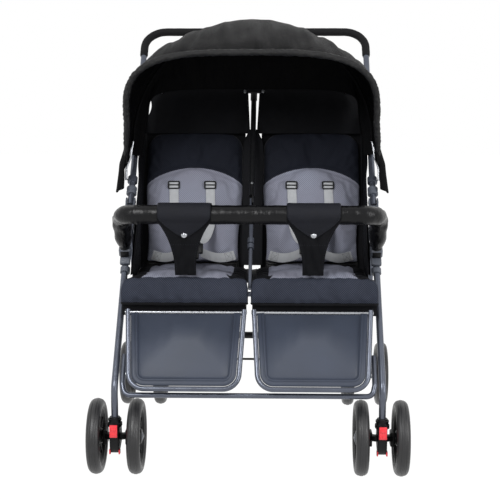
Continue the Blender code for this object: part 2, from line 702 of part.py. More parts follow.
def make_handle_frame():
    corner = along(FOLD_HINGE, HANDLE_STEP, HANDLE_LENGTH)
    start = along(FOLD_HINGE, HANDLE_STEP, -0.009)
    path = rounded(
        [place(SIDE_X, *start), place(SIDE_X, *corner), place(-SIDE_X, *corner), place(-SIDE_X, *start)],
        HANDLE_CORNER, 5,
    )
    clamps = []
    for _, s in SIDES:
        spots = [along(FOLD_HINGE, HANDLE_STEP, CANOPY_PIVOT_AT + d) for d in (-0.008, 0.008)]
        clamps.append(sweep([place(s * SIDE_X, *spot) for spot in spots], 0.0125, 12))
    tube = combined(sweep(path, TUBE_RADIUS), clamps)
    node("handle_tube", tube, "painted_tube", "handle_frame")
    grip_start = along(FOLD_HINGE, HANDLE_STEP, HANDLE_LENGTH - GRIP_LENGTH)
    grip_path = [place(SIDE_X, *grip_start)] + path[1:-1] + [place(-SIDE_X, *grip_start)]
    grip = sweep(grip_path, GRIP_RADIUS, TUBE_SIDES, TUBE_RADIUS + SKIN_GAP)
    node("handle_grip", grip, "black_foam", "handle_frame")
    bar = along(FOLD_HINGE, HANDLE_STEP, HANDLE_BAR_AT)
    inner = SIDE_X - TUBE_RADIUS - SKIN_GAP
    node("handle_cross_bar", sweep([place(-inner, *bar), place(inner, *bar)], 0.0075),
         "black_plastic", "handle_frame")
    ends = [place(0, *along(FOLD_HINGE, HANDLE_STEP, d)) for d in (0.019, HANDLE_BAR_AT - 0.0082)]
    tongue_end = along(FOLD_HINGE, HANDLE_STEP, 0.030)
    tongue = plate(capsule(FOLD_HINGE, tongue_end, 0.008), SKIN_GAP / 2, 0.0046)
    node("centre_post", combined(sweep(ends, 0.007), [tongue]), "black_plastic", "handle_frame")
    for side, s in SIDES:
        spots = [along(FOLD_HINGE, HANDLE_STEP, d) for d in COLLAR_AT]
        collar = sweep([place(s * SIDE_X, *spot) for spot in spots], 0.013, 12, TUBE_RADIUS + SKIN_GAP)
        node(f"lock_collar_{side}", collar, "grey_plastic", f"lock_collar_{side}")


# Canopy
BOW_RADIUS = 0.003
SHEET_COLUMNS = 33


def reach_at(angle):
    """The canopy's reach from its pivots at its middle, with a dip between the bows."""
    if angle >= MID_BOW_ANGLE:
        f = (angle - MID_BOW_ANGLE) / (FRONT_BOW_ANGLE - MID_BOW_ANGLE)
        return MID_BOW_REACH + (FRONT_BOW_REACH - MID_BOW_REACH) * f - 0.014 * math.sin(math.pi * f)
    f = (MID_BOW_ANGLE - angle) / (MID_BOW_ANGLE - REAR_EDGE_ANGLE)
    return MID_BOW_REACH + (REAR_EDGE_REACH - MID_BOW_REACH) * f ** 1.15


def side_at(angle):
    """Half the canopy's width low down: outside the handle tubes, then inside them at the rear."""
    f = min(1.0, max(0.0, (math.radians(66) - angle) / math.radians(7)))
    return 0.3205 - 0.0345 * f


def shoulder_at(angle):
    """The arch's shoulder height and squareness: square at both ends, half round at the middle bow."""
    if angle >= MID_BOW_ANGLE:
        f = (angle - MID_BOW_ANGLE) / (FRONT_BOW_ANGLE - MID_BOW_ANGLE)
        return 0.305 + (0.193 - 0.305) * f, 2.05 + 1.35 * f
    f = (MID_BOW_ANGLE - angle) / (MID_BOW_ANGLE - REAR_EDGE_ANGLE)
    return 0.305 + (0.110 - 0.305) * f, 2.05 + 1.65 * f


def arch(angle, low, inset=0.0, columns=SHEET_COLUMNS, end_x=None):
    """Points of one bow's curve, from the left side over the top to the right side."""
    reach, half = reach_at(angle) - inset, side_at(angle) - inset
    shoulder, squareness = shoulder_at(angle)
    straight = reach - shoulder
    half_points = []
    count = columns // 2
    for k in range(count + 1):
        f = k / count
        if f < 0.25:
            r = low + (straight - low) * f / 0.25
            x = half - 0.010 * (r / straight) ** 2
            if end_x is not None and r < 0.060:
                x = end_x + (x - end_x) * max(0.0, (r - 0.030) / 0.030)
        else:
            turn = (f - 0.25) / 0.75 * math.pi / 2
            x = (half - 0.010) * math.cos(turn) ** (2 / squareness) if k < count else 0.0
            r = straight + shoulder * math.sin(turn) ** (2 / squareness)
        half_points.append((x, r))
    flat = [(-x, r) for x, r in half_points] + [(x, r) for x, r in reversed(half_points[:-1])]
    spin = (math.cos(angle), math.sin(angle))
    return [place(x, *along(CANOPY_PIVOT, spin, r)) for x, r in flat]


def make_canopy():
    angles = [FRONT_BOW_ANGLE + (MID_BOW_ANGLE - FRONT_BOW_ANGLE) * k / 7 for k in range(8)]
    angles += [MID_BOW_ANGLE + (REAR_EDGE_ANGLE - MID_BOW_ANGLE) * k / 6 for k in range(1, 7)]
    outer, inner = [], []
    for angle in angles:
        low = 0.068 + 0.020 * wave(angle, math.radians(85), math.radians(25))
        ripple = 0.003 * wave(angle, math.radians(98), math.radians(17))
        points = arch(angle, low)
        under = arch(angle, low, CANOPY_THICK)
        fold = [ripple * math.cos(1.4 * k) for k in range(len(points))]
        spin = Vector((0, math.cos(angle), math.sin(angle)))
        outer.append([p + spin * f for p, f in zip(points, fold)])
        inner.append([p + spin * f for p, f in zip(under, fold)])
    node("canopy_fabric", grids(outer, inner), "black_fabric", "handle_frame")
    for name, angle, end_x in (("front", FRONT_BOW_ANGLE - 0.035, 0.3265), ("mid", MID_BOW_ANGLE, 0.3195)):
        inset = CANOPY_THICK + BOW_RADIUS + 0.0055
        bow = arch(angle, 0.0, inset, 25, end_x)
        node(f"canopy_{name}_bow", sweep(bow, BOW_RADIUS, 6), "steel", f"canopy_{name}")


def make_back_extension():
    """Loose cloth from the handle's cross bar down to the tops of the backrests, in one piece."""
    top = along(FOLD_HINGE, HANDLE_STEP, HANDLE_BAR_AT - 0.004, 0.0140)
    low = along(RECLINE_HINGE, BACK_STEP, BACK_LENGTH + 0.0015, 0.004)
    step, length = heading(low, top)
    panels = []
    for _, s in SIDES:
        front, rear = [], []
        for i in range(7):
            f = i / 6
            inner, outer = 0.027 - 0.013 * f, 0.2765 + 0.0115 * f
            front_row, rear_row = [], []
            for j in range(7):
                sag = 0.005 * math.sin(math.pi * f) * math.cos(math.pi * j / 2)
                x = s * (inner + (outer - inner) * j / 6)
                front_row.append(place(x, *along(low, step, length * f, 0.0015 + sag)))
                rear_row.append(place(x, *along(low, step, length * f, sag - 0.0015)))
            front.append(front_row)
            rear.append(rear_row)
        panels.append(grids(front, rear))
    middle = place(0, *along(low, step, length - 0.006))
    band = block(middle, (0.060, 0.0028, 0.010), math.atan2(step[1], step[0]) - math.pi / 2, 0.0003)
    node("back_extension", combined(panels[0], [panels[1], band]), "black_fabric", "handle_frame")


bpy.context.scene.unit_settings.scale_length = 1.0
for leftover in list(bpy.data.objects):
    bpy.data.objects.remove(leftover)
make_bodies()
make_wheels()
make_casters()
make_front_legs()
make_hinge_brackets()
make_front_cross_tube()
make_seat_frame()
make_centre_strut()
make_bumper_sockets()
make_seats()
make_backrests()
make_leg_rests()
make_bumper()
make_rear_frame()
make_brake()
make_handle_frame()
make_canopy()
make_back_extension()
bpy.context.view_layer.update()
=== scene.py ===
"""Side-by-side double stroller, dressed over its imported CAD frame.

Metres, +Z up, +X to the right as seen from the front, the handle at +Y. Places are given as
x to the side, the distance back from the front axle, and the height up from the floor.
"""
import json
import math

import bmesh
import bpy
import numpy as np
from mathutils import Matrix, Quaternion, Vector, noise
from mathutils.bvhtree import BVHTree

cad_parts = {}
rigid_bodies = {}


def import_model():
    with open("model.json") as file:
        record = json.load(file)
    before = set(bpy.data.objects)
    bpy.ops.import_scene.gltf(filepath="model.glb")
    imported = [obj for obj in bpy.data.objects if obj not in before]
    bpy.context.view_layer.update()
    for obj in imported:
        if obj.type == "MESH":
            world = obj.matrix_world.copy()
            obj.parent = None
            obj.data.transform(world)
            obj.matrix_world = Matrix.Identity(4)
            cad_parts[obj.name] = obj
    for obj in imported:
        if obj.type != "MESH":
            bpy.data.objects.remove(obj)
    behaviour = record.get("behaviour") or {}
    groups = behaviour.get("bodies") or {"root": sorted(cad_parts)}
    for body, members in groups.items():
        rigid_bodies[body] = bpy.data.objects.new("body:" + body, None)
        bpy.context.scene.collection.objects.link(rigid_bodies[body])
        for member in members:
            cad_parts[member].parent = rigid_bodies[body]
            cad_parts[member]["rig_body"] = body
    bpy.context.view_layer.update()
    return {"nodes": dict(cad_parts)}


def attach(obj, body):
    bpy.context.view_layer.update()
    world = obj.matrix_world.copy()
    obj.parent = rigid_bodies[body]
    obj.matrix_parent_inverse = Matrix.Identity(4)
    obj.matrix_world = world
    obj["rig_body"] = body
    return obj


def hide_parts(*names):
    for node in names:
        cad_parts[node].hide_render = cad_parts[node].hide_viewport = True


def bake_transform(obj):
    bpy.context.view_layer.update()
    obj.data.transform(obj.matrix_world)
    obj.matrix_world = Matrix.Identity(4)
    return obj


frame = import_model()
FRONT_AXLE_Y = -0.3121
SIDES = (("left", -1), ("right", 1))
CLEARANCE = 0.0004


def place(x, back, up):
    """The point at x to the side, this far back from the front axle and this far up."""
    return Vector((x, back + FRONT_AXLE_Y, up))


# The photographer's place: level with the canopy, a little over two metres and a half in front,
# looking slightly down.
camera_data = bpy.data.cameras.new("camera")
camera_data.lens = 87.4
camera = bpy.data.objects.new("camera", camera_data)
camera.location = (0.073, -3.024, 0.956)
camera.rotation_euler = (math.radians(81), 0, math.radians(1.47))
bpy.context.scene.collection.objects.link(camera)
bpy.context.scene.camera = camera
bpy.context.scene.view_settings.view_transform = "Standard"


# Soft studio light: a wide box high up in front at the left, a weaker one at the right, a faint
# one behind, and a pale room.
def soft_box(name, spot, aim, size, power):
    data = bpy.data.lights.new(name, "AREA")
    data.shape = "RECTANGLE"
    data.size, data.size_y = size
    data.energy = power
    lamp = bpy.data.objects.new(name, data)
    lamp.location = spot
    lamp.rotation_euler = (Vector(aim) - Vector(spot)).to_track_quat("-Z", "Y").to_euler()
    bpy.context.scene.collection.objects.link(lamp)


soft_box("key_light", (-1.3, -2.6, 2.7), (0, 0, 0.5), (1.4, 1.4), 80)
soft_box("side_light", (2.3, -1.7, 1.5), (0, 0, 0.5), (0.6, 2.0), 36)
soft_box("rear_light", (0.4, 2.6, 2.6), (0, 0, 0.6), (2.0, 1.2), 4)


class Wire:
    """A socket of a node tree, so that shader maths reads as plain expressions."""

    def __init__(self, socket):
        self.socket = socket

    def node(self, kind, settings=(), inputs=(), output=0):
        """A node of this kind in the same tree: its settings first, then its sockets."""
        tree = self.socket.id_data
        made = tree.nodes.new("ShaderNode" + kind)
        for key, value in dict(settings).items():
            setattr(made, key, value)
        for key, value in dict(inputs).items():
            if isinstance(value, Wire):
                tree.links.new(value.socket, made.inputs[key])
            else:
                made.inputs[key].default_value = value
        return Wire(made.outputs[output])

    def math(self, operation, *others):
        return self.node("Math", {"operation": operation}, dict(enumerate((self,) + others)))

    def __add__(self, other):
        return self.math("ADD", other)

    def __mul__(self, other):
        return self.math("MULTIPLY", other)

    def __sub__(self, other):
        return self.math("SUBTRACT", other)

    def __rsub__(self, other):
        return self.math("MULTIPLY", -1.0).math("ADD", other)

    __radd__ = __add__
    __rmul__ = __mul__

    def rise(self, low, high):
        """0 below low, 1 above high, and smooth between."""
        return self.node(
            "MapRange", {"interpolation_type": "SMOOTHSTEP"}, {0: self, 1: low, 2: high}
        )

    def noise(self, scale, detail=3.0, roughness=0.5):
        return self.node(
            "TexNoise", (),
            {"Vector": self, "Scale": scale, "Detail": detail, "Roughness": roughness}, "Fac",
        )

    def stretched(self, scale):
        return self.node("Mapping", (), {"Vector": self, "Scale": scale})

    def colours(self, low, high):
        """From the first colour to the second as this goes from 0 to 1."""
        return self.node("Mix", {"data_type": "RGBA"}, {0: self, 6: low, 7: high}, 2)

    def bump(self, depth):
        return self.node("Bump", (), {"Height": self, "Distance": depth})

    def split(self):
        parts = self.node("SeparateXYZ", (), {0: self}).socket.node
        return [Wire(out) for out in parts.outputs]


def colour(code):
    """A screen colour, as written in six digits, in the linear values that sockets take."""
    parts = [int(code[i:i + 2], 16) / 255 for i in (0, 2, 4)]
    return (*[c / 12.92 if c < 0.04045 else ((c + 0.055) / 1.055) ** 2.4 for c in parts], 1.0)


def finish(name, look, **constants):
    """A material. look(point, uv) gives the shader's sockets that change over the surface."""
    material = bpy.data.materials.new(name)
    material.use_nodes = True
    tree = material.node_tree
    shader = tree.nodes["Principled BSDF"]
    for key, value in constants.items():
        shader.inputs[key.replace("_", " ")].default_value = value
    spots = tree.nodes.new("ShaderNodeTexCoord")
    made = look(Wire(spots.outputs["Object"]), Wire(spots.outputs["UV"]))
    for key, wire in made.items():
        tree.links.new(wire.socket, shader.inputs[key])
    return material


# Floor and room: plain and pale, white where the camera sees them, with the stroller's own
# soft shadow kept on the floor.
def seen_directly(start):
    """1 for what the camera sees, also through a mirror or glass."""
    path = start.node("LightPath")
    outs = path.socket.node.outputs
    parts = [Wire(outs[key]) for key in ("Is Camera Ray", "Is Glossy Ray", "Is Transmission Ray")]
    return (parts[0] + parts[1] + parts[2]).math("MINIMUM", 1.0)


world = bpy.data.worlds.new("studio")
world.use_nodes = True
bpy.context.scene.world = world
backdrop = world.node_tree.nodes["Background"]
seen = seen_directly(Wire(world.node_tree.nodes.new("ShaderNodeLightPath").outputs[0]))
world.node_tree.links.new((seen * 0.52 + 0.48).socket, backdrop.inputs["Strength"])
backdrop.inputs["Color"].default_value = (1, 1, 1, 1)

floor_mesh = bpy.data.meshes.new("floor")
floor_mesh.from_pydata([(-9, -9, 0), (9, -9, 0), (9, 9, 0), (-9, 9, 0)], [], [(0, 1, 2, 3)])
floor = bpy.data.objects.new("floor", floor_mesh)
bpy.context.scene.collection.objects.link(floor)
floor_paint = bpy.data.materials.new("floor_paint")
floor_paint.use_nodes = True
floor_tree = floor_paint.node_tree
floor_tree.nodes["Principled BSDF"].inputs["Base Color"].default_value = (0.86, 0.86, 0.86, 1)
floor_tree.nodes["Principled BSDF"].inputs["Roughness"].default_value = 0.9
glow = floor_tree.nodes.new("ShaderNodeEmission")
glow.inputs["Strength"].default_value = 1.08
cover = floor_tree.nodes.new("ShaderNodeMixShader")
seen = seen_directly(Wire(glow.outputs[0]))
floor_tree.links.new((seen * 0.93).socket, cover.inputs[0])
floor_tree.links.new(floor_tree.nodes["Principled BSDF"].outputs[0], cover.inputs[1])
floor_tree.links.new(glow.outputs[0], cover.inputs[2])
floor_tree.links.new(cover.outputs[0], floor_tree.nodes["Material Output"].inputs["Surface"])
floor_mesh.materials.append(floor_paint)


# Wheels: eight alike, in pairs. Each is a black moulded rim with ribs on its web, in a round
# foam tyre with two grooves, and turns on its axle.
WHEEL_RADIUS = 0.0875
PAIR_X = 0.306
WHEEL_OFFSET = 0.046
REAR_AXLE_BACK = 0.58
RIM_RADIUS = 0.0664
HUB_HALF = 0.0125
WHEEL_TURNS = 72


def metres_over(grid):
    """How far every point of a grid lies across its row, from the middle, and every row along."""
    across = np.linalg.norm(np.diff(grid, axis=1), axis=2)
    down = np.linalg.norm(np.diff(grid, axis=0), axis=2)
    u = np.concatenate([np.zeros((len(grid), 1)), np.cumsum(across, axis=1)], axis=1)
    v = np.concatenate([[0.0], np.cumsum(down.mean(axis=1))])
    return u - u[:, -1:] / 2, v


def skin(rows, closed=True, loop=False):
    """A mesh through rows of points, each row closed on itself, or else a sheet.

    The rows close on each other where loop is set. Its UV map is in metres over the surface."""
    grid = np.array([[tuple(p) for p in row] for row in rows], float)
    if closed:
        grid = np.concatenate([grid, grid[:, :1]], axis=1)
    if loop:
        grid = np.concatenate([grid, grid[:1]], axis=0)
    u, v = metres_over(grid)
    high, wide = grid.shape[:2]
    last_row = high - 1 if loop else high
    last_column = wide - 1 if closed else wide

    def index(i, j):
        return (i % last_row) * last_column + j % last_column

    faces, coords = [], []
    for i in range(high - 1):
        for j in range(wide - 1):
            corners = ((i, j), (i, j + 1), (i + 1, j + 1), (i + 1, j))
            faces.append([index(*c) for c in corners])
            coords += [(u[c], v[c[0]]) for c in corners]
    if closed and not loop:
        for i in (0, high - 1):
            ring = [index(i, j) for j in range(wide - 1)]
            faces.append(ring)
            coords += [(0.0, v[i])] * len(ring)
    mesh = bpy.data.meshes.new("skin")
    mesh.from_pydata(grid[:last_row, :last_column].reshape(-1, 3), [], faces)
    mesh.uv_layers.new(name="UVMap").data.foreach_set("uv", np.array(coords).ravel())
    if closed:
        face_out(mesh)
    return mesh


def face_out(mesh):
    shape = bmesh.new()
    shape.from_mesh(mesh)
    bmesh.ops.remove_doubles(shape, verts=shape.verts, dist=1e-6)
    bmesh.ops.recalc_face_normals(shape, faces=shape.faces)
    shape.to_mesh(mesh)
    shape.free()
    return mesh


def joined(meshes):
    """One mesh that holds several."""
    shape = bmesh.new()
    for mesh in meshes:
        shape.from_mesh(mesh)
    whole = bpy.data.meshes.new("joined")
    shape.to_mesh(whole)
    shape.free()
    return whole


def piece(name, mesh, material, body=None, stands_for=(), sharp=38):
    """A finished piece at the origin, which rides on a body."""
    thing = bpy.data.objects.new(name, mesh)
    bpy.context.scene.collection.objects.link(thing)
    mesh.materials.clear()
    mesh.materials.append(material)
    mesh.shade_smooth()
    mesh.set_sharp_from_angle(angle=math.radians(sharp))
    if body is not None:
        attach(thing, body)
    if stands_for:
        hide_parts(*stands_for)
    return thing


def turned(profile, centre):
    """A ring turned about the direction of the axles from a closed profile of (radius, along)."""
    rows = []
    for k in range(WHEEL_TURNS):
        a = 2 * math.pi * k / WHEEL_TURNS
        rows.append([centre + Vector((h, r * math.cos(a), r * math.sin(a))) for r, h in profile])
    return skin(rows, loop=True)


def black_mould(point, uv):
    cloud = point.noise(70, 4)
    grain = point.noise(1500, 2)
    return {
        "Base Color": (cloud * 0.7 + grain * 0.3).colours(colour("08080a"), colour("131416")),
        "Roughness": cloud * 0.22 + 0.30,
        "Normal": grain.bump(0.00025),
    }


def tyre_look(point, uv):
    streak = uv.stretched((90, 1400, 1)).noise(1.0, 4, 0.6)
    dust = point.noise(34, 4, 0.6)
    return {
        "Base Color": (dust * 0.7 + streak * 0.3).colours(colour("0b0b0c"), colour("2a2a2c")),
        "Roughness": streak * 0.45 + dust * 0.2 + 0.06,
        "Normal": (streak * 0.6 + point.noise(900, 3) * 0.4).bump(0.0004),
    }


black_plastic = finish("black_plastic", black_mould, Specular_IOR_Level=0.22)
tyre_foam = finish("tyre_foam", tyre_look, Specular_IOR_Level=0.5)

tyre_section = []
for degrees in range(-117, 118, 3):
    t = math.radians(degrees)
    r, h = 0.0755 + 0.0120 * math.cos(t), 0.0155 * math.sin(t)
    groove = sum(math.exp(-((h - at) / 0.0008) ** 2) for at in (-0.0053, 0.0053))
    tyre_section.append((r - 0.0010 * groove, h))
foot = RIM_RADIUS + CLEARANCE
tyre_section = [(foot, -0.0118)] + tyre_section + [(foot, 0.0118)]
rim_half = [
    (RIM_RADIUS, 0.0118), (0.0640, 0.0120), (0.0620, 0.0112), (0.0595, 0.0080), (0.0570, 0.0042),
    (0.0540, 0.0026), (0.0240, 0.0026), (0.0200, 0.0040), (0.0175, 0.0100), (0.0160, 0.0118),
    (0.0140, HUB_HALF), (0.0062, HUB_HALF), (0.0046, 0.0120),
]
rim_section = [(r, -h) for r, h in rim_half] + [(r, h) for r, h in reversed(rim_half)]


def node_tree(name, sockets):
    """An empty geometry node tree with these inputs, and its two end nodes."""
    tree = bpy.data.node_groups.new(name, "GeometryNodeTree")
    tree.interface.new_socket("Geometry", in_out="INPUT", socket_type="NodeSocketGeometry")
    for label, kind in sockets.items():
        tree.interface.new_socket(label, in_out="INPUT", socket_type="NodeSocket" + kind)
    tree.interface.new_socket("Geometry", in_out="OUTPUT", socket_type="NodeSocketGeometry")
    return tree, tree.nodes.new("NodeGroupInput"), tree.nodes.new("NodeGroupOutput")


def step_of(tree, kind, settings=(), **sockets):
    """A geometry node, its settings first. A socket's underscore stands for a space."""
    made = tree.nodes.new(kind)
    for key, value in dict(settings).items():
        setattr(made, key, value)
    for key, value in sockets.items():
        target = made.inputs[key.replace("_", " ")]
        if isinstance(value, bpy.types.NodeSocket):
            tree.links.new(value, target)
        else:
            target.default_value = value
    return made


def dress(tree, instances, ends, result):
    """The end of a tree: its instances made real, in the material that it is given."""
    real = step_of(tree, "GeometryNodeRealizeInstances", Geometry=instances.outputs[0])
    dressed = step_of(tree, "GeometryNodeSetMaterial", Geometry=real.outputs[0],
                      Material=ends.outputs["Material"])
    tree.links.new(dressed.outputs[0], result.inputs[0])


def applied(thing):
    """The mesh of an object with its modifiers applied."""
    graph = bpy.context.evaluated_depsgraph_get()
    return bpy.data.meshes.new_from_object(thing.evaluated_get(graph))


def grown(tree, base, material, **values):
    """The plain mesh that a tree makes on a base mesh or curve, with its inputs set by name."""
    holder = bpy.data.objects.new("holder", base)
    bpy.context.scene.collection.objects.link(holder)
    modifier = holder.modifiers.new("nodes", "NODES")
    modifier.node_group = tree
    values["Material"] = material
    for item in tree.interface.items_tree:
        if item.in_out == "INPUT" and item.name in values:
            modifier[item.identifier] = values[item.name]
    bpy.context.view_layer.update()
    mesh = applied(holder)
    bpy.data.objects.remove(holder)
    return mesh


# Ribs stand on both faces of each rim's web, set evenly round the hub.
ribs_tree, ends, result = node_tree(
    "rim_ribs", {"Count": "Int", "Length": "Float", "Width": "Float", "Height": "Float",
                 "Middle": "Float", "Material": "Material"}
)
ring = step_of(ribs_tree, "GeometryNodeMeshCircle", Vertices=ends.outputs["Count"], Radius=0.001)
size = step_of(ribs_tree, "ShaderNodeCombineXYZ", X=ends.outputs["Height"],
               Y=ends.outputs["Length"], Z=ends.outputs["Width"])
rib = step_of(ribs_tree, "GeometryNodeMeshCube", Size=size.outputs[0])
offset = step_of(ribs_tree, "ShaderNodeCombineXYZ", Y=ends.outputs["Middle"])
moved = step_of(ribs_tree, "GeometryNodeTransform", Geometry=rib.outputs[0],
                Translation=offset.outputs[0])
order = step_of(ribs_tree, "GeometryNodeInputIndex")
share = step_of(ribs_tree, "ShaderNodeMath", {"operation": "DIVIDE"})
ribs_tree.links.new(order.outputs[0], share.inputs[0])
ribs_tree.links.new(ends.outputs["Count"], share.inputs[1])
angle = step_of(ribs_tree, "ShaderNodeMath", {"operation": "MULTIPLY"})
ribs_tree.links.new(share.outputs[0], angle.inputs[0])
angle.inputs[1].default_value = 2 * math.pi
turn = step_of(ribs_tree, "ShaderNodeCombineXYZ", X=angle.outputs[0])
centred = step_of(ribs_tree, "GeometryNodeSetPosition", Geometry=ring.outputs[0])
centred.inputs["Position"].default_value = (0, 0, 0)
put = step_of(ribs_tree, "GeometryNodeInstanceOnPoints", Points=centred.outputs[0],
              Instance=moved.outputs[0], Rotation=turn.outputs[0])
dress(ribs_tree, put, ends, result)

wheels = []
for row, back in (("front", 0.0), ("rear", REAR_AXLE_BACK)):
    for side, s in SIDES:
        for name, k in (("outer", 1), ("inner", -1)):
            centre = place(s * (PAIR_X + k * WHEEL_OFFSET), back, WHEEL_RADIUS)
            wheels.append((row, f"{side}_{name}", centre, k * s))
for row, name, centre, _ in wheels:
    body = f"{row}_wheel_{name}"
    piece(f"tyre_{row}_{name}", turned(tyre_section, centre), tyre_foam, body,
          [f"{row}_tyre_{name}"], 60)
    ribs = grown(ribs_tree, bpy.data.meshes.new("seed"), black_plastic, Count=12,
                 Length=0.038, Width=0.0024, Height=0.0125, Middle=0.038)
    ribs.transform(Matrix.Translation(centre))
    piece(f"rim_{row}_{name}", joined([turned(rim_section, centre), ribs]), black_plastic, body,
          [f"{row}_rim_{name}"], 30)


# Front casters: a black moulded housing turns on a stem under each front leg. Square blocks
# beside the wheels hold the axle, a red lever locks the swivel, and two red clips sit below.
CASTER_TRAIL = 0.030
LEG_FOOT_UP = 0.1435


def oval(centre, half_x, half_y, power=2.0, count=32):
    """A level ring, round at power 2 and squarer above it."""
    ring = []
    for k in range(count):
        a = 2 * math.pi * (k + 0.5) / count
        c, n = math.cos(a), math.sin(a)
        reach_x = math.copysign(abs(c) ** (2 / power), c)
        reach_y = math.copysign(abs(n) ** (2 / power), n)
        ring.append(centre + Vector((half_x * reach_x, half_y * reach_y, 0)))
    return ring


def bevelled(mesh, offset, segments=2):
    """The mesh with its sharp edges rounded."""
    shape = bmesh.new()
    shape.from_mesh(mesh)
    bmesh.ops.remove_doubles(shape, verts=shape.verts, dist=1e-6)
    sharp = [e for e in shape.edges if e.is_manifold and e.calc_face_angle() > math.radians(35)]
    bmesh.ops.bevel(shape, geom=sharp, offset=offset, segments=segments, affect="EDGES",
                    profile=0.5, clamp_overlap=True)
    bmesh.ops.recalc_face_normals(shape, faces=shape.faces)
    shape.to_mesh(mesh)
    shape.free()
    return mesh


def block(centre, size, tilt=0.0, offset=0.0015, turn=0.0):
    """A moulded block with rounded edges, tilted about X and turned about Z."""
    shape = bmesh.new()
    bmesh.ops.create_cube(shape, size=1)
    bmesh.ops.scale(shape, vec=size, verts=shape.verts)
    move = (Matrix.Translation(centre) @ Matrix.Rotation(turn, 4, "Z")
            @ Matrix.Rotation(tilt, 4, "X"))
    bmesh.ops.transform(shape, matrix=move, verts=shape.verts)
    mesh = bpy.data.meshes.new("block")
    shape.to_mesh(mesh)
    shape.free()
    return bevelled(mesh, offset)


def plate(outline, x0, x1, offset=0.001):
    """An outline of (back, up) with a thickness from x0 to x1 and rounded edges."""
    rows = [[place(x, *spot) for spot in outline] for x in (min(x0, x1), max(x0, x1))]
    return bevelled(skin(rows), offset)


def red_mould(point, uv):
    return {
        "Base Color": point.noise(160, 3).colours(colour("e02832"), colour("f4444e")),
        "Roughness": point.noise(300, 2) * 0.2 + 0.22,
        "Normal": point.noise(1800, 2).bump(0.0001),
    }


red_plastic = finish("red_plastic", red_mould)
caster_shell = [
    (-0.052, 0.128), (-0.010, 0.128), (0.010, 0.110), (0.0155, 0.092), (0.010, 0.074),
    (-0.008, 0.066), (-0.026, 0.060), (-0.040, 0.060), (-0.050, 0.072), (-0.054, 0.100),
]
for side, s in SIDES:
    x = s * PAIR_X
    stem = [
        (0.1431, 0.0118, 2), (0.1400, 0.0124, 2), (0.1392, 0.0150, 2), (0.1350, 0.0152, 2),
        (0.1342, 0.0136, 2.4), (0.1300, 0.0140, 3), (0.1285, 0.0165, 3), (0.1225, 0.0165, 3),
        (0.1205, 0.0125, 3), (0.1150, 0.0110, 3), (0.0900, 0.0106, 3),
    ]
    column = skin([oval(place(x, -CASTER_TRAIL, z), r, r + 0.001, p) for z, r, p in stem])
    parts = [column, plate(caster_shell, x - 0.0105, x + 0.0105, 0.0025)]
    for k in (-1, 1):
        nut = place(x + k * 0.0265, 0, WHEEL_RADIUS)
        parts.append(block(nut, (0.0115, 0.030, 0.034), 0, 0.002))
        arm = [place(x + k * 0.008, -0.016, 0.094), place(x + k * 0.024, -0.004, WHEEL_RADIUS)]
        parts.append(block((arm[0] + arm[1]) / 2, (0.018, 0.018, 0.013), 0, 0.002, k * 0.3))
    piece(f"caster_{side}", joined(parts), black_plastic, f"caster_{side}",
          [f"caster_housing_{side}"])
    front = -CASTER_TRAIL - 0.0285
    lever = [
        block(place(x, front, 0.1165), (0.0180, 0.0060, 0.0290), 0, 0.0016),
        block(place(x, front - 0.0030, 0.1215), (0.0120, 0.0030, 0.0070), 0, 0.0010),
        block(place(x, front - 0.0028, 0.1085), (0.0150, 0.0020, 0.0030), 0, 0.0006),
    ]
    piece(f"swivel_lever_{side}", joined(lever), red_plastic, f"swivel_lock_{side}",
          [f"swivel_lock_{side}"])
    clips = [block(place(x + k * 0.0108, -0.040, 0.0635), (0.0034, 0.012, 0.0110), 0, 0.0008)
             for k in (-1, 1)]
    piece(f"caster_clips_{side}", joined(clips), red_plastic, f"caster_{side}", ())


# Frame: gunmetal painted steel tube. The front legs, the U-shaped front cross tube, the hoop
# under the seats and the slim strut between them are bent from one size of tube each.
SIDE_X = 0.303
TUBE_RADIUS = 0.008
FOLD_HINGE = (0.300, 0.600)
REAR_HINGE = (0.285, 0.530)
LEG_BEND = (-0.030, 0.210)
SEAT_FRAME_UP = 0.405
SEAT_FRAME_X = 0.283


def heading(start, end):
    """The unit step in (back, up) from start to end, and their distance."""
    step = Vector((end[0] - start[0], end[1] - start[1]))
    return step.normalized(), step.length


def along(start, step, distance, off=0.0):
    """The (back, up) place this far along a line, and this far off to its upper front side."""
    return (start[0] + step[0] * distance - step[1] * off,
            start[1] + step[1] * distance + step[0] * off)


def on_line(start, step):
    """What gives the point at x to the side, this far along a (back, up) line and this far off."""
    def spot(x, distance, off=0.0):
        return place(x, *along(start, step, distance, off))
    return spot


def rounded(points, bend, steps=10, closed=False):
    """The path through points with each corner turned into an arc of radius bend."""
    points = [Vector(p) for p in points]
    path = [] if closed else [points[0]]
    last = len(points)
    for i in range(last) if closed else range(1, last - 1):
        corner = points[i]
        before = (points[i - 1] - corner).normalized()
        after = (points[(i + 1) % last] - corner).normalized()
        half = before.angle(after) / 2
        centre = corner + (before + after).normalized() * bend / math.sin(half)
        start = corner + before * bend / math.tan(half) - centre
        axis = after.cross(before)
        for k in range(steps + 1):
            path.append(centre + Quaternion(axis, (math.pi - 2 * half) * k / steps) @ start)
    return path if closed else path + [points[-1]]


def mirrored(half):
    """The path given for one side, and on to the other side as its mirror image."""
    return half + [Vector((-p.x, p.y, p.z)) for p in reversed(half)]


def respaced(path, count):
    """The same path as this many points at even distances."""
    runs = np.cumsum([0.0] + [(b - a).length for a, b in zip(path, path[1:])])
    spots = np.array([tuple(p) for p in path])
    at = np.linspace(0, runs[-1], count)
    return [Vector(p) for p in np.stack([np.interp(at, runs, spots[:, i]) for i in range(3)], 1)]


def even(path, pitch):
    """The same path with its points this far apart."""
    length = sum((b - a).length for a, b in zip(path, path[1:]))
    return respaced(path, max(2, round(length / pitch)) + 1)


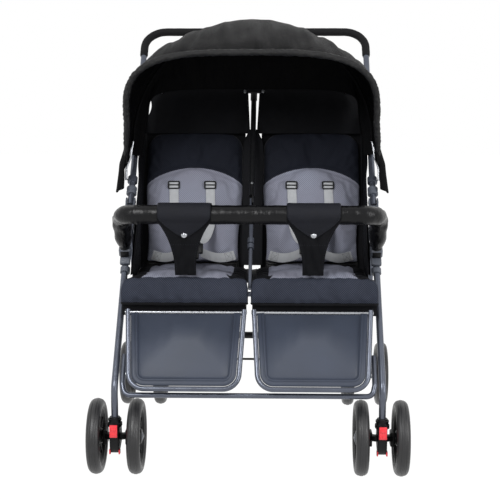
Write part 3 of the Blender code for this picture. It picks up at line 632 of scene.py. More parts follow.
def sweep(points, radius, sides=24, closed=False, shape=None):
    """A round bar along points. shape(i, angle) may change the radius over it."""
    points = [Vector(p) for p in points]
    last = len(points) - 1
    first = points[0]
    side = sum(((a - first).cross(b - first) for a, b in zip(points, points[1:])), Vector())
    if side.length < 1e-9:
        run = points[-1] - first
        side = Vector((1, 0, 0)) if abs(run.x) < 0.5 * run.length else Vector((0, 0, 1))
    rows = []
    for i, point in enumerate(points):
        before = points[i - 1] if i or closed else point
        after = points[(i + 1) % len(points)] if i < last or closed else point
        run = (after - before).normalized()
        side = (side - run * side.dot(run)).normalized()
        other = run.cross(side)
        size = radius[i] if isinstance(radius, list) else radius
        row = []
        for k in range(sides):
            a = 2 * math.pi * k / sides
            grow = size if shape is None else size + shape(i, a)
            row.append(point + (side * math.cos(a) + other * math.sin(a)) * grow)
        rows.append(row)
    return skin(rows, loop=closed)


def painted_tube(point, uv):
    cloud = point.noise(26, 3)
    flake = point.noise(4200, 1)
    rub = point.noise(120, 5, 0.65).rise(0.66, 0.74)
    base = (cloud * 0.6 + flake * 0.4).colours(colour("454954"), colour("646975"))
    return {
        "Base Color": (rub * 0.5).colours(base, colour("7d8087")),
        "Roughness": cloud * 0.12 + rub * 0.12 + 0.14,
        "Normal": flake.bump(0.00006),
    }


def bright_steel(point, uv):
    cloud = point.noise(180, 4)
    return {
        "Base Color": cloud.colours(colour("8d8f94"), colour("b9bbbf")),
        "Roughness": cloud * 0.2 + 0.18,
    }


frame_paint = finish("frame_paint", painted_tube, Metallic=0.55, Specular_IOR_Level=0.5)
steel = finish("steel", bright_steel, Metallic=1.0)
LEG_STEP, _ = heading(FOLD_HINGE, LEG_BEND)
LEG_UP = -LEG_STEP
on_leg = on_line(LEG_BEND, LEG_UP)
leg_paths = {}
for side, s in SIDES:
    ends = [place(s * PAIR_X, -CASTER_TRAIL, LEG_FOOT_UP), place(s * PAIR_X, *LEG_BEND),
            place(s * SIDE_X, *along(FOLD_HINGE, LEG_STEP, 0.0195))]
    leg_paths[side] = rounded(ends, 0.045)
    piece(f"leg_front_{side}", sweep(leg_paths[side], TUBE_RADIUS), frame_paint, "root",
          [f"front_leg_{side}"])

CROSS_TUBE_RADIUS = 0.0062
CROSS_TUBE_X = SIDE_X - TUBE_RADIUS - CROSS_TUBE_RADIUS - CLEARANCE
u_half = [on_leg(CROSS_TUBE_X, 0.085), on_leg(CROSS_TUBE_X, 0.012),
          place(CROSS_TUBE_X - 0.006, -0.036, 0.196)]
u_path = rounded(mirrored(u_half), 0.016)
piece("cross_tube_front", sweep(u_path, CROSS_TUBE_RADIUS), frame_paint, "root",
      ["front_cross_tube"])

hoop = [place(k * SEAT_FRAME_X, back, SEAT_FRAME_UP) for k, back in
        ((1, 0.330), (1, 0.100), (-1, 0.100), (-1, 0.330))]
leg_back = along(LEG_BEND, LEG_UP, 0.2555)[0]
lug_x = (SEAT_FRAME_X + SIDE_X - TUBE_RADIUS) / 2
lugs = [block(place(s * lug_x, leg_back, SEAT_FRAME_UP), (0.0105, 0.024, 0.008)) for _, s in SIDES]
hoop_mesh = joined([sweep(rounded(hoop, 0.030, closed=True), 0.006, 20, True)] + lugs)
piece("seat_hoop", hoop_mesh, frame_paint, "root", ["seat_frame"])

strut_foot = (0.112, SEAT_FRAME_UP + 0.010)
STRUT_STEP, strut_length = heading(strut_foot, FOLD_HINGE)
on_strut = on_line(strut_foot, STRUT_STEP)


def slope(step):
    """The tilt about X that stands an upright block along this (back, up) step."""
    return math.atan2(step[1], step[0]) - math.pi / 2


strut_parts = [sweep([on_strut(0, d) for d in reach], radii) for reach, radii in (
    ((0, strut_length - 0.017), 0.0045),
    ((0.118, 0.1185, 0.131, 0.132), [0.0066, 0.0078, 0.0078, 0.0066]),
    ((0.134, 0.1345, 0.150, 0.151), [0.0066, 0.0075, 0.0075, 0.0060]),
)]
tongue = block(on_strut(-0.0024, strut_length - 0.014), (0.0044, 0.015, 0.042), slope(STRUT_STEP),
               0.001)
piece("strut_centre", joined(strut_parts + [tongue]), frame_paint, "root", ["centre_strut"])


# Fasteners: domed rivets and bolt heads of plated steel, pressed through the tubes and plates.
# Each is a washer with a shallow dome on it, set along its own direction.
rivets_tree, ends, result = node_tree(
    "rivets", {"Radius": "Float", "Dome": "Float", "Material": "Material"}
)
washer = step_of(rivets_tree, "GeometryNodeMeshCylinder", Vertices=20, Side_Segments=1,
                 Radius=1.35, Depth=0.5)
dome = step_of(rivets_tree, "GeometryNodeMeshUVSphere", Segments=20, Rings=10, Radius=1.0)
flat_dome = step_of(rivets_tree, "ShaderNodeCombineXYZ", Z=ends.outputs["Dome"])
flat_dome.inputs["X"].default_value = 1.0
flat_dome.inputs["Y"].default_value = 1.0
low_dome = step_of(rivets_tree, "GeometryNodeTransform", Geometry=dome.outputs[0],
                   Scale=flat_dome.outputs[0])
head = step_of(rivets_tree, "GeometryNodeJoinGeometry")
rivets_tree.links.new(washer.outputs[0], head.inputs[0])
rivets_tree.links.new(low_dome.outputs[0], head.inputs[0])
facing = step_of(rivets_tree, "GeometryNodeInputNormal")
turn = step_of(rivets_tree, "FunctionNodeAlignRotationToVector", {"axis": "Z"},
               Vector=facing.outputs[0])
spots = step_of(rivets_tree, "GeometryNodeMeshToPoints", {"mode": "FACES"},
                Mesh=ends.outputs["Geometry"])
held = step_of(rivets_tree, "GeometryNodeCaptureAttribute", {"domain": "FACE"},
               Geometry=ends.outputs["Geometry"])
held.capture_items.new("ROTATION", "turn")
rivets_tree.links.new(turn.outputs[0], held.inputs["turn"])
rivets_tree.links.new(held.outputs["Geometry"], spots.inputs["Mesh"])
put = step_of(rivets_tree, "GeometryNodeInstanceOnPoints", Points=spots.outputs[0],
              Instance=head.outputs[0], Rotation=held.outputs["turn"])
rivets_tree.links.new(ends.outputs["Radius"], put.inputs["Scale"])
dress(rivets_tree, put, ends, result)


def rivets(name, body, spots, radius=0.0030, dome=0.45, material=None):
    """Rivet heads at (point, direction) spots, as one piece."""
    corners, faces = [], []
    for point, direction in spots:
        way = Vector(direction).normalized()
        side = way.orthogonal().normalized()
        other = way.cross(side)
        first = len(corners)
        corners += [point + (side * math.cos(a) + other * math.sin(a)) * 0.0005
                    for a in (0, 2 * math.pi / 3, 4 * math.pi / 3)]
        faces.append((first, first + 1, first + 2))
    base = bpy.data.meshes.new("spots")
    base.from_pydata([tuple(c) for c in corners], [], faces)
    mesh = grown(rivets_tree, base, material or steel, Radius=radius, Dome=dome)
    return piece(name, mesh, material or steel, body, (), 50)


frame_rivets = []
for side, s in SIDES:
    for d in (0.036, 0.068):
        frame_rivets.append((on_leg(s * (SIDE_X + TUBE_RADIUS + CLEARANCE), d), (s, 0, 0)))
        frame_rivets.append((on_leg(s * (CROSS_TUBE_X - CROSS_TUBE_RADIUS), d), (-s, 0, 0)))
    frame_rivets.append((place(s * 0.281, leg_back, SEAT_FRAME_UP + 0.0045), (0, 0, 1)))
rivets("frame_bolts", "root", frame_rivets)


# Fold hinges: moulded cheeks on the leg's top carry the pins of the handle and the rear leg,
# with rivets on both faces.
def grey_mould(point, uv):
    cloud = point.noise(40, 4)
    grain = point.noise(1300, 2)
    return {
        "Base Color": (cloud * 0.8 + grain * 0.2).colours(colour("444851"), colour("585d67")),
        "Roughness": cloud * 0.2 + 0.30,
        "Normal": grain.bump(0.0002),
    }


grey_plastic = finish("grey_plastic", grey_mould, Specular_IOR_Level=0.5)


def keep(node_name, material):
    """A CAD node whose own shape is right, with its material."""
    thing = frame["nodes"][node_name]
    thing.data.materials.clear()
    thing.data.materials.append(material)
    return thing


def redone(node_name, name, material, offset=0.0008):
    """A CAD node's own form with its edges rounded, which stands for it."""
    mesh = frame["nodes"][node_name].data.copy()
    bevelled(mesh, offset, 2)
    body = frame["nodes"][node_name]["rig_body"]
    return piece(name, mesh, material, body, [node_name], 30)


hinge_rivets = []
for side, s in SIDES:
    redone(f"hinge_bracket_{side}", f"hinge_cheeks_{side}", grey_plastic, 0.0006)
    for spot in (FOLD_HINGE, along(FOLD_HINGE, LEG_STEP, 0.038), along(FOLD_HINGE, LEG_STEP, 0.066),
                 REAR_HINGE):
        for k in (-1, 1):
            hinge_rivets.append((place(s * SIDE_X + k * 0.0118, *spot), (k, 0, 0)))
rivets("hinge_rivets", "root", hinge_rivets, 0.0034, 0.5)


# Bumper bar sockets: grey moulded cups clamped to the front legs, each with a dark slot for the
# bar's release button and a collar below.
BUMPER_END = (0.171, 0.506)
BUMPER_KNEE = (0.118, 0.585)
BUMPER_STEP, _ = heading(BUMPER_END, BUMPER_KNEE)
on_bar_end = on_line(BUMPER_END, BUMPER_STEP)
for side, s in SIDES:
    redone(f"bumper_socket_{side}", f"bar_socket_{side}", grey_plastic, 0.0012)
    middle = along(BUMPER_END, BUMPER_STEP, -0.0135, 0.0121)
    slot_block = block(place(s * SIDE_X, *middle), (0.0200, 0.0022, 0.0170),
                       slope(BUMPER_STEP), 0.0006)
    button = block(place(s * SIDE_X, *along(middle, BUMPER_STEP, -0.001, 0.0008)),
                   (0.0100, 0.0022, 0.0080), slope(BUMPER_STEP), 0.0007)
    piece(f"socket_button_{side}", joined([slot_block, button]), black_plastic, "root", ())
    leg_spot = along(LEG_BEND, LEG_UP, 0.338)
    ring = [place(s * SIDE_X, *along(leg_spot, LEG_STEP, d))
            for d in (0.0190, 0.0194, 0.0330, 0.0334)]
    collar = sweep(ring, [0.0102, 0.0118, 0.0118, 0.0102])
    piece(f"leg_collar_{side}", collar, grey_plastic, "root", ())


# Seat pads: each is a stuffed cover sewn over foam, filled by a cloth simulation that is held
# along its seams. Its middle is grey air mesh in a black border, and its front lip is charcoal
# mesh with a piped lower edge. A black wing stands at the outer side of each.
SEAT_X = 0.148
SEAT_HALF = 0.140
LIP_HALF = 0.1493
LIP_X = 0.1523
SEAT_LINE = [
    (0.318, 0.424), (0.306, 0.434), (0.270, 0.436), (0.235, 0.434), (0.200, 0.439), (0.160, 0.442),
    (0.120, 0.446), (0.086, 0.448), (0.068, 0.441), (0.059, 0.424), (0.058, 0.402), (0.064, 0.385),
]
SEAT_UNDER = [
    (0.317, 0.4125), (0.304, 0.4125), (0.268, 0.4125), (0.235, 0.4125), (0.200, 0.4125),
    (0.160, 0.4125), (0.125, 0.4125), (0.093, 0.4125), (0.0925, 0.408), (0.0922, 0.400),
    (0.0918, 0.392), (0.086, 0.384),
]
SEAT_CHANNELS = (0.235, 0.165)
SEAT_BORDER = 0.105
ABOVE_SEAT = 0.46
DOWN = (0, 0, -1)
REARWARD = (0, 1, 0)


def wave(value, centre, width):
    """A smooth bump of height 1 about centre, 0 beyond width."""
    reach = abs(value - centre) / width
    return 0.5 + 0.5 * math.cos(math.pi * reach) if reach < 1 else 0.0


def spread(line, count):
    """The (back, up) line drawn again as a smooth one with this many places."""
    path = [Vector((0, *p)) for p in line]
    fine = []
    for i in range(len(path) - 1):
        before = path[max(0, i - 1)]
        after = path[min(len(path) - 1, i + 2)]
        for k in range(8):
            t = k / 8
            a = path[i] * (2 * t ** 3 - 3 * t * t + 1) + path[i + 1] * (3 * t * t - 2 * t ** 3)
            a += (path[i + 1] - before) * 0.5 * (t ** 3 - 2 * t * t + t)
            a += (after - path[i]) * 0.5 * (t ** 3 - t * t)
            fine.append(a)
    fine.append(path[-1])
    length = sum((b - a).length for a, b in zip(fine, fine[1:]))
    return [(p.y, p.z) for p in even(fine, length / (count - 1))]


def pad_mesh(front, rear):
    """The closed form between a front grid and a rear grid, with the front's metres as UV."""
    ring_rows = [list(a) + list(reversed(b)) for a, b in zip(front, rear)]
    mesh = skin(ring_rows)
    width = len(front[0])
    u, v = metres_over(np.array([[tuple(p) for p in row] for row in front]))
    values = np.zeros((len(mesh.vertices), 2))
    for i in range(len(front)):
        for j in range(2 * width):
            values[i * 2 * width + j] = (u[i, min(j, 2 * width - 1 - j)], v[i])
    loops = np.zeros(len(mesh.loops), int)
    mesh.loops.foreach_get("vertex_index", loops)
    mesh.uv_layers[0].data.foreach_set("uv", values[loops].ravel())
    return mesh


def filled(mesh, held, cap, growth=0.04, pressure=4.0, frames=18):
    """The cover after stuffing: its cloth swells, held where held(index) is near 1."""
    thing = bpy.data.objects.new("cover", mesh)
    scene = bpy.context.scene
    scene.collection.objects.link(thing)
    group = thing.vertex_groups.new(name="seams")
    for index in range(len(mesh.vertices)):
        group.add([index], held(index), "REPLACE")
    before = np.array([tuple(v.co) for v in mesh.vertices])
    modifier = thing.modifiers.new("stuffing", "CLOTH")
    cloth = modifier.settings
    cloth.quality = 6
    cloth.mass = 0.25
    cloth.tension_stiffness = cloth.compression_stiffness = 18
    cloth.shear_stiffness = 8
    cloth.bending_stiffness = 0.4
    cloth.vertex_group_mass = "seams"
    cloth.use_pressure = True
    cloth.uniform_pressure_force = pressure
    cloth.shrink_min = -growth
    cloth.effector_weights.gravity = 0
    modifier.collision_settings.use_collision = False
    modifier.point_cache.frame_start = 1
    modifier.point_cache.frame_end = frames
    for number in range(1, frames + 1):
        scene.frame_set(number)
    graph = bpy.context.evaluated_depsgraph_get()
    solved = thing.evaluated_get(graph).to_mesh()
    after = np.array([tuple(v.co) for v in solved.vertices])
    step = after - before
    size = np.linalg.norm(step, axis=1, keepdims=True)
    step *= np.minimum(1.0, cap / np.maximum(size, 1e-9))
    mesh.vertices.foreach_set("co", (before + step).ravel())
    bpy.data.objects.remove(thing)
    scene.frame_set(1)
    mesh.update()
    return mesh


def settled(thing):
    """The piece with its modifiers worked into its mesh."""
    thing.data = applied(thing)
    thing.modifiers.clear()
    return thing


def subdivided(thing):
    modifier = thing.modifiers.new("smooth", "SUBSURF")
    modifier.levels = modifier.render_levels = 1
    modifier.uv_smooth = "PRESERVE_BOUNDARIES"
    return settled(thing)


def dots(uv, pitch):
    """0 to 1 over the holes of an air mesh, set in diagonal rows."""
    u, v, _ = uv.split()
    turn = 2 * math.pi / pitch
    return ((u * turn).math("COSINE") * (v * turn).math("COSINE")) * 0.5 + 0.5


def grey_mesh(uv, point):
    """The colour and height of the grey air mesh."""
    hole = dots(uv, 0.0052).rise(0.35, 0.85)
    tint = point.noise(11, 3)
    warm = tint.colours(colour("7d7c88"), colour("9095a5"))
    return (hole * 0.55).colours(warm, colour("4b4d58")), hole


def charcoal_mesh(uv, point):
    hole = dots(uv, 0.0052).rise(0.45, 0.90)
    tint = point.noise(14, 4)
    base = tint.colours(colour("181b24"), colour("2c303c"))
    return (hole * 0.45).colours(base, colour("565b69")), hole


def black_cloth(uv, point):
    weave = dots(uv, 0.0016)
    tint = point.noise(18, 4)
    return (tint * 0.8 + weave * 0.2).colours(colour("060608"), colour("0f1014")), weave


def seat_look(point, uv):
    u, v, _ = uv.split()
    on_lip = v.rise(0.2500, 0.2510)
    border = u.math("ABSOLUTE").rise(SEAT_BORDER - 0.0005, SEAT_BORDER + 0.0005)
    grey, grey_holes = grey_mesh(uv, point)
    dark, dark_holes = charcoal_mesh(uv, point)
    black, weave = black_cloth(uv, point)
    top = border.colours(grey, black)
    piped = v.rise(0.3120, 0.3128)
    height = grey_holes * (1 - border) * (1 - on_lip) * -1.0 + dark_holes * on_lip * 0.5
    folds = point.stretched((40, 14, 14)).noise(1.0, 3, 0.6)
    return {
        "Base Color": piped.colours(on_lip.colours(top, dark), black),
        "Roughness": on_lip * -0.1 + weave * 0.1 + 0.78,
        "Normal": (height * 0.35 + folds * 2.2).bump(0.0011),
    }


seat_cloth = finish("seat_cloth", seat_look, Specular_IOR_Level=0.12)


def plain_black(point, uv):
    base, weave = black_cloth(uv, point)
    folds = point.noise(36, 4, 0.6)
    return {
        "Base Color": base,
        "Roughness": folds * 0.2 + weave * 0.05 + 0.52,
        "Normal": (weave * 0.25 + folds * 1.6).bump(0.0010),
    }


black_fabric = finish("black_fabric", plain_black, Specular_IOR_Level=0.10)


# The flap's cloth: black weave whose light threads are its own, with painted sheen on the fold
# crests.
def flap_look_painted_sheen(point, uv):
    base, weave = black_cloth(uv, point)
    folds = point.noise(30, 4, 0.6)
    return {
        # Lighter where the fold noise is high: painted sheen on the fold crests, plus the weave's
        # own lighter threads.
        "Base Color": (weave * 0.3 + folds * 0.3).colours(base, colour("23252f")),
        "Roughness": folds * 0.2 + 0.42,
        "Normal": (weave * 0.25 + folds * 2.0).bump(0.0010),
    }


flap_cloth = finish("flap_cloth", flap_look_painted_sheen, Specular_IOR_Level=0.14)


def seat_spot(s, f, t, line):
    """The pad's top at f along its profile and t across it, before it is filled."""
    back, up = line
    on_lip = 0.35 * min(1.0, max(0.0, (0.100 - back) / 0.014))
    if back < 0.086:
        on_lip += 0.65 * math.sqrt(min(1.0, max(0.0, (0.448 - up) / 0.022)))
    waist = 0.004 * wave(back, 0.200, 0.110)
    half = SEAT_HALF - waist + (LIP_HALF - SEAT_HALF) * on_lip
    centre = SEAT_X + (LIP_X - SEAT_X) * on_lip
    channel = max(wave(back, at, 0.013) for at in SEAT_CHANNELS)
    border = wave(abs(t) * half, SEAT_BORDER, 0.010)
    crown = 1 - abs(t) ** 6
    lift = (0.005 * (1 - t * t) - 0.004 * channel * crown - 0.003 * border) * (1 - on_lip)
    crease = 0.0022 * math.sin(42 * t + 3 * s) * wave(f, 0.72, 0.10)
    crease += 0.0048 * noise.noise(Vector((t * 7, f * 9, 4.0 + s))) * on_lip * wave(f, 0.84, 0.16)
    edge = 0.010 * (abs(t) ** 10) * (1 - on_lip)
    return place(s * (centre + half * t), back + 0.004 * on_lip * abs(t) ** 8 - crease,
                 up + lift - edge + crease)


SEAT_ROWS, SEAT_COLUMNS = 56, 49
seat_lines = spread(SEAT_LINE, SEAT_ROWS)
seat_unders = spread(SEAT_UNDER, SEAT_ROWS)
places = [2 * j / (SEAT_COLUMNS - 1) - 1 for j in range(SEAT_COLUMNS)]
seam_columns = [min(range(SEAT_COLUMNS), key=lambda j: abs(places[j] - at)) for at in (-0.75, 0.75)]
seam_rows = [min(range(SEAT_ROWS), key=lambda i: abs(seat_lines[i][0] - at) + 9 * (i > 42))
             for at in SEAT_CHANNELS + (0.096,)]


def seat_hold(index):
    """How firmly the filling leaves a point of the seat pad's cover: 1 on its seams."""
    i, j = divmod(index, 2 * SEAT_COLUMNS)
    if j >= SEAT_COLUMNS or i in (0, SEAT_ROWS - 1) or j in (0, SEAT_COLUMNS - 1):
        return 1.0
    if i in seam_rows[:-1] or (j in seam_columns and i < seam_rows[-1]):
        return 1.0
    return 0.35 if i > 44 else 0.0


for side, s in SIDES:
    front, rear = [], []
    for i, (line, under) in enumerate(zip(seat_lines, seat_unders)):
        tops = [seat_spot(s, i / (SEAT_ROWS - 1), t, line) for t in places]
        front.append(tops)
        rear.append([place(p.x, *under) for p in tops])
    cover = filled(pad_mesh(front, rear), seat_hold, 0.007)
    cushion = piece(f"seat_pad_{side}", cover, seat_cloth, "root", [f"seat_cushion_{side}"],
                    180)
    subdivided(cushion)


# Stitches: short thread stitches that lie in a row along a seam.
stitch_tree, ends, result = node_tree(
    "stitches", {"Pitch": "Float", "Length": "Float", "Thread": "Float", "Material": "Material"}
)
path_curve = step_of(stitch_tree, "GeometryNodeMeshToCurve", Mesh=ends.outputs["Geometry"])
spaced = step_of(stitch_tree, "GeometryNodeResampleCurve", {"mode": "LENGTH"},
                 Curve=path_curve.outputs[0], Length=ends.outputs["Pitch"])
way = step_of(stitch_tree, "GeometryNodeInputTangent")
turn = step_of(stitch_tree, "FunctionNodeAlignRotationToVector", {"axis": "X"},
               Vector=way.outputs[0])
thread = step_of(stitch_tree, "GeometryNodeMeshIcoSphere", Radius=0.5, Subdivisions=1)
size = step_of(stitch_tree, "ShaderNodeCombineXYZ", X=ends.outputs["Length"],
               Y=ends.outputs["Thread"], Z=ends.outputs["Thread"])
put = step_of(stitch_tree, "GeometryNodeInstanceOnPoints", Points=spaced.outputs[0],
              Instance=thread.outputs[0], Rotation=turn.outputs[0], Scale=size.outputs[0])
dress(stitch_tree, put, ends, result)


def thread_look(point, uv):
    return {
        "Base Color": point.noise(700, 2).colours(colour("1b1c21"), colour("303239")),
        "Roughness": point.noise(500, 2) * 0.3 + 0.5,
    }


sewing_thread = finish("sewing_thread", thread_look, Specular_IOR_Level=0.1)


def stitches(name, body, paths, pitch=0.0055, length=0.0036, thread=0.0009):
    """Rows of stitches along paths, as one piece."""
    corners, edges = [], []
    for path in paths:
        first = len(corners)
        corners += [tuple(p) for p in path]
        edges += [(first + k, first + k + 1) for k in range(len(path) - 1)]
    base = bpy.data.meshes.new("seam")
    base.from_pydata(corners, edges, [])
    mesh = grown(stitch_tree, base, sewing_thread, Pitch=pitch, Length=length, Thread=thread)
    return piece(name, mesh, sewing_thread, body, (), 60)


def surface_of(*things):
    """A tree of the faces of these pieces, for laying trim on them."""
    points, faces = [], []
    for thing in things:
        first = len(points)
        points += [tuple(v.co) for v in thing.data.vertices]
        faces += [[first + i for i in p.vertices] for p in thing.data.polygons]
    return BVHTree.FromPolygons(points, faces)


def laid(tree, path, way, lift=0.0004, far=0.12):
    """The path's points dropped along way onto the surface, a little above it."""
    way = Vector(way).normalized()
    done = []
    for p in path:
        hit = tree.ray_cast(p - way * far, way)[0]
        done.append(p if hit is None else hit - way * lift)
    return done


for side, s in SIDES:
    cushion = bpy.data.objects[f"seat_pad_{side}"]
    tree = surface_of(cushion)
    rows = []
    for at in SEAT_CHANNELS:
        line = [place(s * (SEAT_X + x), at, ABOVE_SEAT) for x in np.linspace(-0.100, 0.100, 41)]
        rows.append(laid(tree, line, DOWN))
    for x in (-0.1085, 0.1085):
        line = [place(s * (SEAT_X + x), back, ABOVE_SEAT) for back in np.linspace(0.100, 0.305, 41)]
        rows.append(laid(tree, line, DOWN))
    stitches(f"seat_stitches_{side}", "root", rows)
    lip_low = [place(s * (LIP_X + LIP_HALF * t), 0.054, 0.3885)
               for t in np.linspace(-0.985, 0.985, 60)]
    piping = [p + Vector((0, -0.0012, 0)) for p in laid(tree, lip_low, REARWARD, 0.0)]
    bead = sweep(piping, 0.0032, 12)
    piece(f"lip_piping_{side}", bead, black_fabric, "root", (), 60)
    hem = [p + Vector((0, -0.0008, 0.010)) for p in piping]
    stitches(f"lip_stitches_{side}", "root", [laid(tree, hem, REARWARD)])


WING_ROWS, WING_COLUMNS = 15, 17
WING_REAR = 0.312
WING_X = 0.2817
for side, s in SIDES:
    front, rear = [], []
    for i in range(WING_ROWS):
        f = i / (WING_ROWS - 1)
        up = 0.428 + 0.148 * f
        start = 0.144 + 0.130 * max(0.0, (f - 0.18) / 0.82) ** 0.9
        row_front, row_rear = [], []
        for j in range(WING_COLUMNS):
            t = j / (WING_COLUMNS - 1)
            back = start + (WING_REAR - start) * t
            puff = math.sin(math.pi * f) ** 0.4 * math.sin(math.pi * t) ** 0.4
            fold = 0.0016 * noise.noise(Vector((back * 26, up * 11, 2.0 + s)))
            half = 0.0005 + 0.0035 * puff
            row_front.append(place(s * (WING_X - half + fold), back, up))
            row_rear.append(place(s * (WING_X + half + fold), back, up))
        front.append(row_front)
        rear.append(row_rear)
    wing = piece(f"seat_wing_{side}", pad_mesh(front, rear), black_fabric, "root", (),
                 180)
    subdivided(wing)


# Backrests: a plastic board turns on a barrel at its foot and carries a padded cover, black at
# the top, with a grey air mesh insert whose upper edge is an arch.
RECLINE_HINGE = (0.340, 0.430)
BACK_TOP = (0.500, 0.755)
BACK_X = 0.152
BACK_HALF = 0.125
ARCH_AT = 0.262
ARCH_DROP = 2.7
ARCH_HALF = 0.118
SEAM_LIFT = 0.0045
ABOVE_PAD = 0.05
BACK_STEP, BACK_LENGTH = heading(RECLINE_HINGE, BACK_TOP)
on_back = on_line(RECLINE_HINGE, BACK_STEP)
BACK_WAY = Vector((0, BACK_STEP[1], -BACK_STEP[0]))


def arch_at(across):
    """How far along the backrest its arched seam lies, this far from its middle."""
    return ARCH_AT - ARCH_DROP * across * across


def back_half(a):
    """Half the backrest's width at a along it: rounded at its top, a little narrower low down."""
    corner = 0.045
    over = max(0.0, a - (BACK_LENGTH - corner)) / corner
    drawn_in = corner * (1 - math.sqrt(max(0.0, 1 - over * over * 0.9)))
    return (BACK_HALF - 0.010 * wave(a, 0.06, 0.15)) - drawn_in


def back_look(point, uv):
    u, v, _ = uv.split()
    arch = 0.252 - u * u * ARCH_DROP
    inside = (arch - v).rise(-0.0004, 0.0004) * (0.1290 - u.math("ABSOLUTE")).rise(-0.0004, 0.0004)
    grey, holes = grey_mesh(uv, point)
    black, weave = black_cloth(uv, point)
    panel_holes = charcoal_mesh(uv, point)[1]
    upper = (v - arch).rise(-0.001, 0.001)
    navy = (point.noise(9, 2) * 0.5).colours(colour("0d0f16"), colour("1d202b"))
    dark = upper.colours(black, (panel_holes * 0.22).colours(navy, colour("3a3e4a")))
    folds = point.noise(30, 4, 0.6)
    return {
        "Base Color": inside.colours(dark, grey),
        "Roughness": weave * 0.05 + 0.80,
        "Normal": (holes * inside * -0.35 + panel_holes * upper * 0.12 + folds * 1.6).bump(0.0010),
    }


back_cloth = finish("back_cloth", back_look, Specular_IOR_Level=0.12)
BACK_ROWS, BACK_COLUMNS = 64, 45


def back_spot(s, a, t):
    """The pad's front at a along the back and t across it, before it is filled."""
    end = min(1.0, 4 * a / BACK_LENGTH, 4 * (BACK_LENGTH - a) / BACK_LENGTH + 0.02)
    across = back_half(a) * t
    seam = wave(a, arch_at(across), 0.016)
    puff = (1 - abs(t) ** 8) * (0.35 + 0.65 * math.sqrt(max(0.0, end)))
    thick = 0.003 + 0.016 * puff - 0.0045 * seam * puff
    return on_back(s * (BACK_X + across), a, thick)


reaches = [0.012 + (BACK_LENGTH - 0.012) * i / (BACK_ROWS - 1) for i in range(BACK_ROWS)]
places = [2 * j / (BACK_COLUMNS - 1) - 1 for j in range(BACK_COLUMNS)]


def back_hold(index):
    """How firmly the filling leaves a point of the back pad's cover: 1 on its seams."""
    i, j = divmod(index, 2 * BACK_COLUMNS)
    if j >= BACK_COLUMNS or i in (0, BACK_ROWS - 1) or j in (0, BACK_COLUMNS - 1):
        return 1.0
    across = back_half(reaches[i]) * places[j]
    return min(1.0, 1.6 * wave(reaches[i], arch_at(across), 0.006))


for side, s in SIDES:
    front, rear = [], []
    for a in reaches:
        front.append([back_spot(s, a, t) for t in places])
        rear.append([on_back(s * (BACK_X + back_half(a) * t), a, -0.0035) for t in places])
    pad = piece(f"back_pad_{side}", filled(pad_mesh(front, rear), back_hold, 0.008), back_cloth,
                f"backrest_{side}", [f"backrest_pad_{side}"], 180)
    subdivided(pad)
    tree = surface_of(pad)
    arch_line = []
    for across in np.linspace(-ARCH_HALF, ARCH_HALF, 71):
        arch_line.append(on_back(s * (BACK_X + across), arch_at(across) + SEAM_LIFT, ABOVE_PAD))
    stitches(f"back_stitches_{side}", f"backrest_{side}", [laid(tree, arch_line, BACK_WAY)])
    redone(f"backrest_board_{side}", f"back_board_{side}", black_plastic, 0.0010)


# Harness: light grey woven webbing. Two shoulder straps lie on each pad, run through black
# sliders and meet the lap straps at a moulded buckle on a short strap from the seat.
def webbing_look(point, uv):
    u, v, _ = uv.split()
    ribs = (u * (2 * math.pi / 0.0021)).math("COSINE") * 0.5 + 0.5
    picks = (v * (2 * math.pi / 0.0016)).math("COSINE") * 0.5 + 0.5
    worn = point.noise(60, 4, 0.6)
    mix = ribs * 0.35 + picks * 0.2 + worn * 0.45
    return {
        "Base Color": mix.colours(colour("909296"), colour("c3c5c8")),
        "Roughness": worn * 0.15 + 0.62,
        "Normal": (ribs * 0.7 + picks * 0.5).bump(0.0004),
    }


webbing = finish("webbing", webbing_look, Specular_IOR_Level=0.2)


def ribbon(path, width, thick, across=(1, 0, 0)):
    """A flat strap along a path, its width lying along across."""
    rows = []
    for i, point in enumerate(path):
        run = (path[min(i + 1, len(path) - 1)] - path[max(i - 1, 0)]).normalized()
        way = Vector(across)
        way = (way - run * way.dot(run)).normalized()
        face = run.cross(way)
        half, deep = width / 2, thick / 2
        section = [(-half, -deep * 0.4), (-half * 0.94, -deep), (0, -deep), (half * 0.94, -deep),
                   (half, -deep * 0.4), (half, deep * 0.4), (half * 0.94, deep), (0, deep),
                   (-half * 0.94, deep), (-half, deep * 0.4)]
        rows.append([point + way * a + face * b for a, b in section])
    return skin(rows)


def frame_bar(centre, u, v, wide, high, radius):
    """A slider: a rounded wire rectangle with a bar across its middle."""
    corners = [centre + u * (a * wide / 2) + v * (b * high / 2)
               for a, b in ((1, 1), (-1, 1), (-1, -1), (1, -1))]
    ends = [centre + u * (k * wide / 2) for k in (-1, 1)]
    ring = sweep(rounded(corners, 0.003, 4, True), radius, 10, True)
    return joined([ring, sweep(ends, radius * 0.9, 10)])


